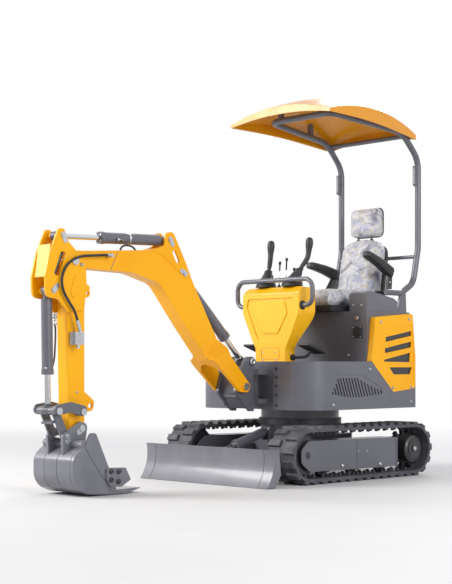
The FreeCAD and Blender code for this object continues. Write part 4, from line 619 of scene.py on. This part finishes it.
def addBlock(work, half, edge, place, tilt, cuts=7):
    block = bmesh.new()
    bmesh.ops.create_cube(block, size=2.0)
    bmesh.ops.subdivide_edges(block, edges=block.edges, cuts=cuts, use_grid_fill=True)
    for vert in block.verts:
        vert.co = Vector(place) + tilt @ roundedPoint(vert.co, half, edge)
    for face in block.faces:
        face.smooth = True
    work.from_mesh(finishMesh(block, "block"))


work = bmesh.new()
for side in (-1, 1):
    front = Vector((side * pedalLook["x"], *pedalLook["front"]))
    rear = Vector((side * pedalLook["x"], *pedalLook["rear"]))
    along = rear - front
    tilt = Vector((0, 1, 0)).rotation_difference(along.normalized())
    addBlock(work, (pedalLook["half"], along.length / 2, pedalLook["thick"]), 0.006, (front + rear) / 2, tilt, 11)
    for rib in range(pedalLook["ribs"]):
        spot = front + along * (0.14 + 0.72 * rib / (pedalLook["ribs"] - 1)) + tilt @ Vector((0, 0, pedalLook["thick"]))
        addBlock(work, (pedalLook["half"] - 0.005, 0.0045, 0.0035), 0.003, spot, tilt)
    under = (front + rear) / 2 + tilt @ Vector((0, 0, -0.006))
    sweep(work, routeLine([(side * 0.095, -0.195, 0.661), (side * 0.140, -0.178, 0.661), (side * 0.188, -0.140, 0.663),
                           tuple(under)], 10), [0.0085] * 99, 14)
    sweep(work, [Vector((side * 0.108, -0.1905, 0.661)), Vector((side * 0.124, -0.1850, 0.661))], (0.0165, 0.0165), 20)
pedals = newPiece("ribbed_pedals", "house", bootRubber, finishMesh(work, "ribbed_pedals"))
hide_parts("pedals")

print("armrests and pedals made")


# Control levers

leverLook = {
    # joystick: where it leaves the console, then (out, back, up, radius) along it
    "x": 0.097, "y": -0.172, "foot": 1.0483,
    "grip": ((0.0210, 0.0410, 0.098, 0.0085), (0.0270, 0.0520, 0.115, 0.0125), (0.0360, 0.0650, 0.135, 0.0150),
             (0.0448, 0.0780, 0.159, 0.0152), (0.0465, 0.0830, 0.185, 0.0155), (0.0472, 0.0855, 0.207, 0.0172),
             (0.0478, 0.0870, 0.222, 0.0205), (0.0482, 0.0885, 0.236, 0.0222), (0.0484, 0.0895, 0.252, 0.0220),
             (0.0484, 0.0900, 0.265, 0.0190), (0.0484, 0.0900, 0.272, 0.0130), (0.0484, 0.0900, 0.2745, 0.0050)),
    "boot": ((0.000, 0.062), (0.006, 0.063), (0.012, 0.055), (0.018, 0.060), (0.026, 0.049), (0.033, 0.054),
             (0.042, 0.039), (0.050, 0.044), (0.060, 0.030), (0.070, 0.034), (0.082, 0.022), (0.095, 0.025),
             (0.107, 0.0155)),
}


def leverPlace(side, out, back, up):
    return Vector((side * (leverLook["x"] + out), leverLook["y"] + back, leverLook["foot"] + up))


work = bmesh.new()
for side in (-1, 1):
    sweep(work, [leverPlace(side, *row[:3]) for row in leverLook["grip"]], [row[3] for row in leverLook["grip"]], 20, 0.92)
grips = newPiece("joystick_grips", "house", blackPolyurethane, finishMesh(work, "joystick_grips"))
grips.modifiers.new("Subdivision", "SUBSURF").render_levels = 2
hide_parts("control_levers")

work = bmesh.new()
for side in (-1, 1):
    rings = []
    for up, radius in leverLook["boot"]:
        climb = max(up - 0.015, 0.0) / 0.092
        centre = leverPlace(side, 0.0231 * climb ** 1.3, 0.0447 * climb ** 1.3, up)
        ring = []
        for k in range(28):
            angle = 2 * math.pi * k / 28
            crease = noise.noise(Vector((math.cos(angle) * 1.7, math.sin(angle) * 1.7 + side * 5, up * 40)))
            reach = radius * (1 + 0.13 * crease * (up > 0.008))
            ring.append(work.verts.new(centre + Vector((reach * math.cos(angle), reach * math.sin(angle), 0.003 * crease * (up > 0.008)))))
        rings.append(ring)
    for lower, upper in zip(rings, rings[1:]):
        for i in range(28):
            work.faces.new((lower[i], lower[(i + 1) % 28], upper[(i + 1) % 28], upper[i])).smooth = True
    work.faces.new(list(reversed(rings[0])))
    work.faces.new(rings[-1])
boots = newPiece("joystick_boots", "house", bootRubber, finishMesh(work, "joystick_boots"))
boots.modifiers.new("Subdivision", "SUBSURF").render_levels = 2

thinLeverLook = {
    # foot and tip of each small lever, the sleeve's radius starts at sleeveFrom
    "levers": (((-0.020, -0.150, 1.0483), (-0.016, -0.147, 1.195)), ((0.030, -0.152, 1.0483), (0.038, -0.150, 1.212)),
               ((0.048, -0.105, 1.0483), (0.048, -0.100, 1.160))),
    "sleeveFrom": 1.143,
}
rodWork, sleeveWork = bmesh.new(), bmesh.new()
for foot, tip in thinLeverLook["levers"]:
    foot, tip = Vector(foot), Vector(tip)
    start = foot.lerp(tip, (min(thinLeverLook["sleeveFrom"], tip.z - 0.03) - foot.z) / (tip.z - foot.z))
    sweep(rodWork, [foot, start.lerp(tip, 0.5)], (0.0022, 0.0022), 12)
    axis = (tip - start).normalized()
    sweep(sleeveWork, [start, start + axis * 0.001, tip - axis * 0.020, tip - axis * 0.016, tip - axis * 0.010, tip - axis * 0.003, tip],
          (0.0030, 0.0040, 0.0042, 0.0070, 0.0085, 0.0070, 0.0035), 18)
    sweep(sleeveWork, [foot, foot + Vector((0, 0, 0.003)), foot + Vector((0, 0, 0.010)), foot + Vector((0, 0, 0.020))],
          (0.0145, 0.0140, 0.0080, 0.0042), 20)
leverRods = newPiece("thin_lever_rods", "house", zincPlate, finishMesh(rodWork, "thin_lever_rods"))
leverSleeves = newPiece("thin_lever_sleeves", "house", blackPolyurethane, finishMesh(sleeveWork, "thin_lever_sleeves"))

print("levers made")


# Hydraulic hose from the boom's fitting over the joint to the stick's valve block

boomHoseLook = {
    # the route's control points as (y, z) on the plane x, the hose's radius and its spiral guard
    "x": 0.076, "radius": 0.0065, "rib": 0.0005, "pitch": 8 * mm,
    "route": ((-1.470, 1.150), (-1.556, 1.143), (-1.634, 1.136), (-1.704, 1.101), (-1.742, 1.037), (-1.737, 0.973),
              (-1.694, 0.912), (-1.661, 0.873), (-1.648, 0.832)),
}
hoseLine = routeLine([(boomHoseLook["x"], y, z) for y, z in boomHoseLook["route"]], 48)
travel = [0.0]
for one, two in zip(hoseLine, hoseLine[1:]):
    travel.append(travel[-1] + (two - one).length)
radii = [boomHoseLook["radius"] - boomHoseLook["rib"] * (0.5 + 0.5 * math.cos(2 * math.pi * t / boomHoseLook["pitch"]))
         for t in travel]
work = bmesh.new()
sweep(work, hoseLine, radii, 14)
boomHose = newPiece("ribbed_boom_hose", None, bootRubber, finishMesh(work, "ribbed_boom_hose"))
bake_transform(boomHose)
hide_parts("boom_hose")

print("hose made")


# Bolts, screws and pin heads

houseBoltLook = {
    # hexagon bolts on both sides: (x, y, z), which way the head faces and its radius
    "zinc": (((0.4401, 0.1749, 0.855), (1, 0, 0), 8), ((0.4401, 0.4254, 0.8757), (1, 0, 0), 8),
             ((0.4401, 0.2796, 0.4927), (1, 0, 0), 8), ((0.4401, 0.4446, 0.494), (1, 0, 0), 8),
             ((0.4401, 0.0783, 0.5958), (1, 0, 0), 9), ((0.4401, -0.2246, 0.4082), (1, 0, 0), 9),
             ((0.4401, 0.4382, 0.4148), (1, 0, 0), 9), ((0.3076, 0.0966, 0.9489), (0, -1, 0), 6),
             ((0.3666, 0.0966, 0.9471), (0, -1, 0), 6), ((0.2735, 0.0961, 0.6733), (0, -1, 0), 7)),
    "black": tuple(((0.1938, -0.4001, z), (0, -1, 0), 8) for z in (0.6002, 0.556, 0.5087, 0.4614, 0.4045)),
    # cross-head screws of the console: its access panel and its side seam
    "screws": (((-0.0552, -0.2431, 0.6882), (0, -1, 0)), ((0.0351, -0.2431, 0.6877), (0, -1, 0)),
               ((-0.0552, -0.2431, 0.6462), (0, -1, 0)), ((0.0411, -0.2431, 0.646), (0, -1, 0)),
               ((0.1470, -0.1804, 0.773), (0.88, 0, -0.47)), ((0.1121, -0.2069, 0.6852), (1, 0, 0)),
               ((-0.1470, -0.1804, 0.773), (-0.88, 0, -0.47)), ((-0.1121, -0.2069, 0.6852), (-1, 0, 0))),
}


def mirrored(place, axis):
    return [(Vector(place), Vector(axis)), (Vector((-place[0], place[1], place[2])), Vector((-axis[0], axis[1], axis[2])))]


for metal, material, slot in (("zinc", zincPlate, "pin_steel"), ("black", blackEnamel, "black_paint")):
    work = bmesh.new()
    for place, axis, size in houseBoltLook[metal]:
        for where, way in mirrored(place, axis):
            hexBolt(work, where, way, size * mm)
    if metal == "zinc":
        for place, axis in houseBoltLook["screws"]:
            domeScrew(work, Vector(place), Vector(axis).normalized(), 4.5 * mm)
        for x in (0.3185, 0.3680):
            for z in (0.7755, 0.8250):
                domeScrew(work, Vector((x, 0.0856, z)), Vector((0, -1, 0)), 3.5 * mm)
        turned(work, ((0.0125, 0.0), (0.0125, 0.003), (0.0105, 0.0045)), (0.342, 0.0870, 0.876), (0, -1, 0), 28)
    bolts = newPiece("house_bolts_" + metal, "house", material, finishMesh(work, "house_bolts_" + metal))

work = bmesh.new()
for side in (-1, 1):
    # rubber grommets where the handrail enters the console
    turned(work, ((0.0250, -0.002), (0.0250, 0.003), (0.0215, 0.006), (0.0165, 0.0065)), (side * 0.2100, -0.212, 0.944), (side, 0, 0), 28)
grommets = newPiece("handrail_grommets", "house", bootRubber, finishMesh(work, "handrail_grommets"))

work = bmesh.new()
for side in (-1, 1):
    for y, z, size in ((-0.162, 0.086, 10), (0.154, 0.079, 10), (-0.031, 0.157, 4), (0.044, 0.156, 4)):
        domeScrew(work, (side * 0.4509, y, z), (side, 0, 0), size * mm)
    turned(work, ((0.0135, 0.0), (0.0135, 0.0012), (0.0130, 0.0016)), (side * 0.4728, 0.436, 0.151), (side, 0, 0), 28)
    turned(work, ((0.0105, 0.0), (0.0105, 0.0045), (0.0092, 0.0056)), (side * 0.4728, 0.436, 0.151), (side, 0, 0), 6)
trackBolts = newPiece("track_frame_bolts", "undercarriage", zincPlate, finishMesh(work, "track_frame_bolts"))

work = bmesh.new()
turned(work, ((0.0200, -0.001), (0.0200, 0.0035), (0.0170, 0.0050), (0.0060, 0.0050), (0.0055, 0.0030)), (0.0824, -0.4650, 0.637), (1, 0, 0), 32)
postCap = newPiece("post_pin_cap", "post", zincPlate, finishMesh(work, "post_pin_cap"))

# Fittings, bleed nipples and hard lines on the cylinders and the arm

work = bmesh.new()
turned(work, ((0.0085, 0.0), (0.0085, 0.006), (0.0050, 0.007), (0.0050, 0.016)), (0.058, -1.6101, 1.0978), (1, 0, 0), 6)
turned(work, ((0.0060, 0.0), (0.0060, 0.003), (0.0035, 0.0035)), (0.038, -1.6209, 0.4904), (1, 0, 0), 20)
stickBolts = newPiece("stick_bolts", "stick", zincPlate, finishMesh(work, "stick_bolts"))

work = bmesh.new()
for z, radius in ((0.866, 0.0085), (0.852, 0.0110), (0.838, 0.0075), (0.820, 0.0095)):
    turned(work, ((radius, 0.0), (radius, 0.012)), (0, -1.722, z), (0, 0, -1), 6)
turned(work, ((0.0070, 0.0), (0.0070, 0.008), (0.0040, 0.009), (0.0040, 0.016)), (0.0180, -1.7870, 0.605), (0.64, -0.77, 0), 6)
bucketFittings = newPiece("bucket_cylinder_fittings", "bucket_barrel", zincPlate, finishMesh(work, "bucket_cylinder_fittings"))

work = bmesh.new()
sweep(work, routeLine([(0, -1.722, 0.815), (0, -1.718, 0.780), (0, -1.722, 0.700), (0, -1.726, 0.640), (0, -1.737, 0.612)], 12),
      [0.0045] * 200, 12)
hardLine = newPiece("bucket_cylinder_hard_line", "bucket_barrel", blackEnamel, finishMesh(work, "bucket_cylinder_hard_line"))

work = bmesh.new()
for y, z in ((-1.455, 1.254), (-1.455, 1.225)):
    for side in (-1, 1):
        turned(work, ((0.0050, 0.0), (0.0050, 0.006), (0.0040, 0.0065)), (side * 0.018, y, z), (0, -1, 0.03), 6)
turned(work, ((0.0090, 0.0), (0.0090, 0.014), (0.0055, 0.015), (0.0055, 0.046)), (0.0335, -1.368, 1.233), (0, 1, 0), 6)
turned(work, ((0.0310, -0.006), (0.0335, -0.006), (0.0335, 0.006), (0.0310, 0.006)), (0, -1.2756, 1.2447), (0, 1, 0), 40)
stickFittings = newPiece("stick_cylinder_bolts", "stick_barrel", zincPlate, finishMesh(work, "stick_cylinder_bolts"))

work = bmesh.new()
sweep(work, routeLine([(0.040, -1.356, 1.165), (0.038, -1.352, 1.192), (0.034, -1.325, 1.208), (0.032, -1.289, 1.210),
                       (0.034, -1.256, 1.200), (0.036, -1.246, 1.176)], 12), [0.0050] * 200, 14)
boomLine = newPiece("boom_hard_line", "boom", blackEnamel, finishMesh(work, "boom_hard_line"))

work = bmesh.new()
for y, z in ((-1.5146, 0.1144), (-1.4682, 0.1118), (-1.5146, 0.0746), (-1.4704, 0.0640)):
    for side in (-1, 1):
        turned(work, ((0.0125, 0.0), (0.0125, 0.004), (0.0110, 0.0085), (0.0060, 0.0095), (0.0055, 0.0070)), (side * 0.1648, y, z), (side, 0, 0), 24)
cutterBolts = newPiece("side_cutter_bolts", "bucket", blackEnamel, finishMesh(work, "side_cutter_bolts"))

# the valve block's plugs, the hose seen through the head's slot and its fitting
work = bmesh.new()
for y, z in ((-1.6611, 0.7604), (-1.6611, 0.7377), (-1.6376, 0.7607), (-1.6376, 0.7377)):
    turned(work, ((0.0062, 0.0), (0.0062, 0.003), (0.0030, 0.003), (0.0028, 0.001)), (0.0879, y, z), (1, 0, 0), 6)
turned(work, ((0.0085, 0.0), (0.0085, 0.010), (0.0060, 0.011), (0.0060, 0.024)), (0.030, -1.7085, 1.150), (0, 0.12, 1), 6)
valvePlugs = newPiece("stick_fittings", "stick", zincPlate, finishMesh(work, "stick_fittings"))

work = bmesh.new()
slotLine = routeLine([(0.030, -1.708, 1.152), (0.030, -1.716, 1.130), (0.030, -1.728, 1.105), (0.030, -1.742, 1.070), (0.026, -1.752, 1.040)], 12)
sweep(work, slotLine, [0.0095] * len(slotLine), 16)
slotPipe = newPiece("stick_head_pipe", "stick", blackEnamel, finishMesh(work, "stick_head_pipe"))

work = bmesh.new()
for side in (-1, 1):
    seam = routeLine([(side * 0.0451, -1.3728, 1.172), (side * 0.0451, -1.396, 1.128), (side * 0.0451, -1.418, 1.083)], 10)
    sweep(work, seam, [0.0016] * len(seam), 8)
weld = newPiece("boom_weld_seam", "boom", slateEnamel, finishMesh(work, "boom_weld_seam"))

print("bolts and fittings made")


# Floor, light and camera

def floorMaterial():
    # smooth pale concrete that fades to plain white past the object's shadow
    material, tree = newMaterial("pale_trowelled_concrete")
    coords = addNode(tree, "ShaderNodeTexCoord")
    cloud = addNode(tree, "ShaderNodeTexNoise", {"Scale": 1.4, "Detail": 8.0, "Roughness": 0.6}, {"Vector": (coords, "Object")})
    colour = addNode(tree, "ShaderNodeMix", {"data_type": "RGBA", 6: toLinear("#D8D7D6"), 7: toLinear("#E1E0DF")},
                     {0: (cloud, 0)})
    shader = addNode(tree, "ShaderNodeBsdfPrincipled", {"Roughness": 0.75}, {"Base Color": (colour, 2)})
    white = addNode(tree, "ShaderNodeEmission", {"Color": (1, 1, 1, 1), "Strength": 1.0})
    length = addNode(tree, "ShaderNodeVectorMath", {"operation": "LENGTH"}, {0: (coords, "Object")})
    far = addNode(tree, "ShaderNodeMapRange", {"interpolation_type": "SMOOTHSTEP", 1: 2.6, 2: 7.0, 3: 0.0, 4: 1.0},
                  {0: (length, "Value")})
    path = addNode(tree, "ShaderNodeLightPath")
    seen = addNode(tree, "ShaderNodeMath", {"operation": "MULTIPLY"}, {0: (path, "Is Camera Ray"), 1: (far, 0)})
    mix = addNode(tree, "ShaderNodeMixShader", {}, {0: (seen, 0), 1: (shader, 0), 2: (white, 0)})
    addNode(tree, "ShaderNodeOutputMaterial", {}, {"Surface": (mix, 0)})
    return material


work = bmesh.new()
bmesh.ops.create_circle(work, cap_ends=True, segments=96, radius=30.0)
floor = bpy.data.objects.new("floor", finishMesh(work, "floor"))
scene.collection.objects.link(floor)
floor.location = (0, -0.5, 0)
paint(floor, floorMaterial())

world = bpy.data.worlds.new("studio")
scene.world = world
world.use_nodes = True
world.node_tree.nodes.clear()
path = addNode(world.node_tree, "ShaderNodeLightPath")
direct = addNode(world.node_tree, "ShaderNodeMath", {"operation": "MAXIMUM"},
                 {0: (path, "Is Camera Ray"), 1: (path, "Is Transmission Ray")})
seen = addNode(world.node_tree, "ShaderNodeMath", {"operation": "MAXIMUM"}, {0: (direct, 0), 1: (path, "Is Glossy Ray")})
sky = addNode(world.node_tree, "ShaderNodeBackground", {"Color": toLinear("#E9EEF6"), "Strength": 0.52})
plain = addNode(world.node_tree, "ShaderNodeBackground", {"Color": (1, 1, 1, 1), "Strength": 1.0})
backdrop = addNode(world.node_tree, "ShaderNodeMixShader", {}, {0: (seen, 0), 1: (sky, 0), 2: (plain, 0)})
addNode(world.node_tree, "ShaderNodeOutputWorld", {}, {"Surface": (backdrop, 0)})


def lamp(name, place, target, size, power):
    light = bpy.data.lights.new(name, "AREA")
    light.shape = "RECTANGLE"
    light.size, light.size_y = size
    light.energy = power
    holder = bpy.data.objects.new(name, light)
    scene.collection.objects.link(holder)
    holder.location = place
    holder.rotation_euler = (Vector(target) - Vector(place)).to_track_quat("-Z", "Y").to_euler()


lamp("key", (-3.6, -5.4, 3.9), (0, -0.4, 0.8), (3.4, 3.2), 450)
lamp("fill", (6.6, -1.2, 2.9), (0, -0.2, 0.8), (4.0, 3.4), 240)
lamp("back", (-2.0, 5.5, 4.5), (0, 0.2, 1.0), (4.0, 2.5), 160)

cameraLook = {
    # the photograph's eye, level and turned about the upright, with the frame shifted up
    "place": (5.0902, -5.6168, 0.6246), "turn": 45.3319, "focal": 1344.78, "frameHeight": 584, "sensor": 36.0,
    "shift": 0.1233,
}
camera = bpy.data.objects.new("camera", bpy.data.cameras.new("camera"))
scene.collection.objects.link(camera)
camera.location = cameraLook["place"]
camera.rotation_euler = (math.radians(90), 0, math.radians(cameraLook["turn"]))
camera.data.sensor_width = cameraLook["sensor"]
camera.data.lens = cameraLook["focal"] * cameraLook["sensor"] / cameraLook["frameHeight"]
camera.data.shift_y = cameraLook["shift"]
scene.camera = camera

print("stage made")
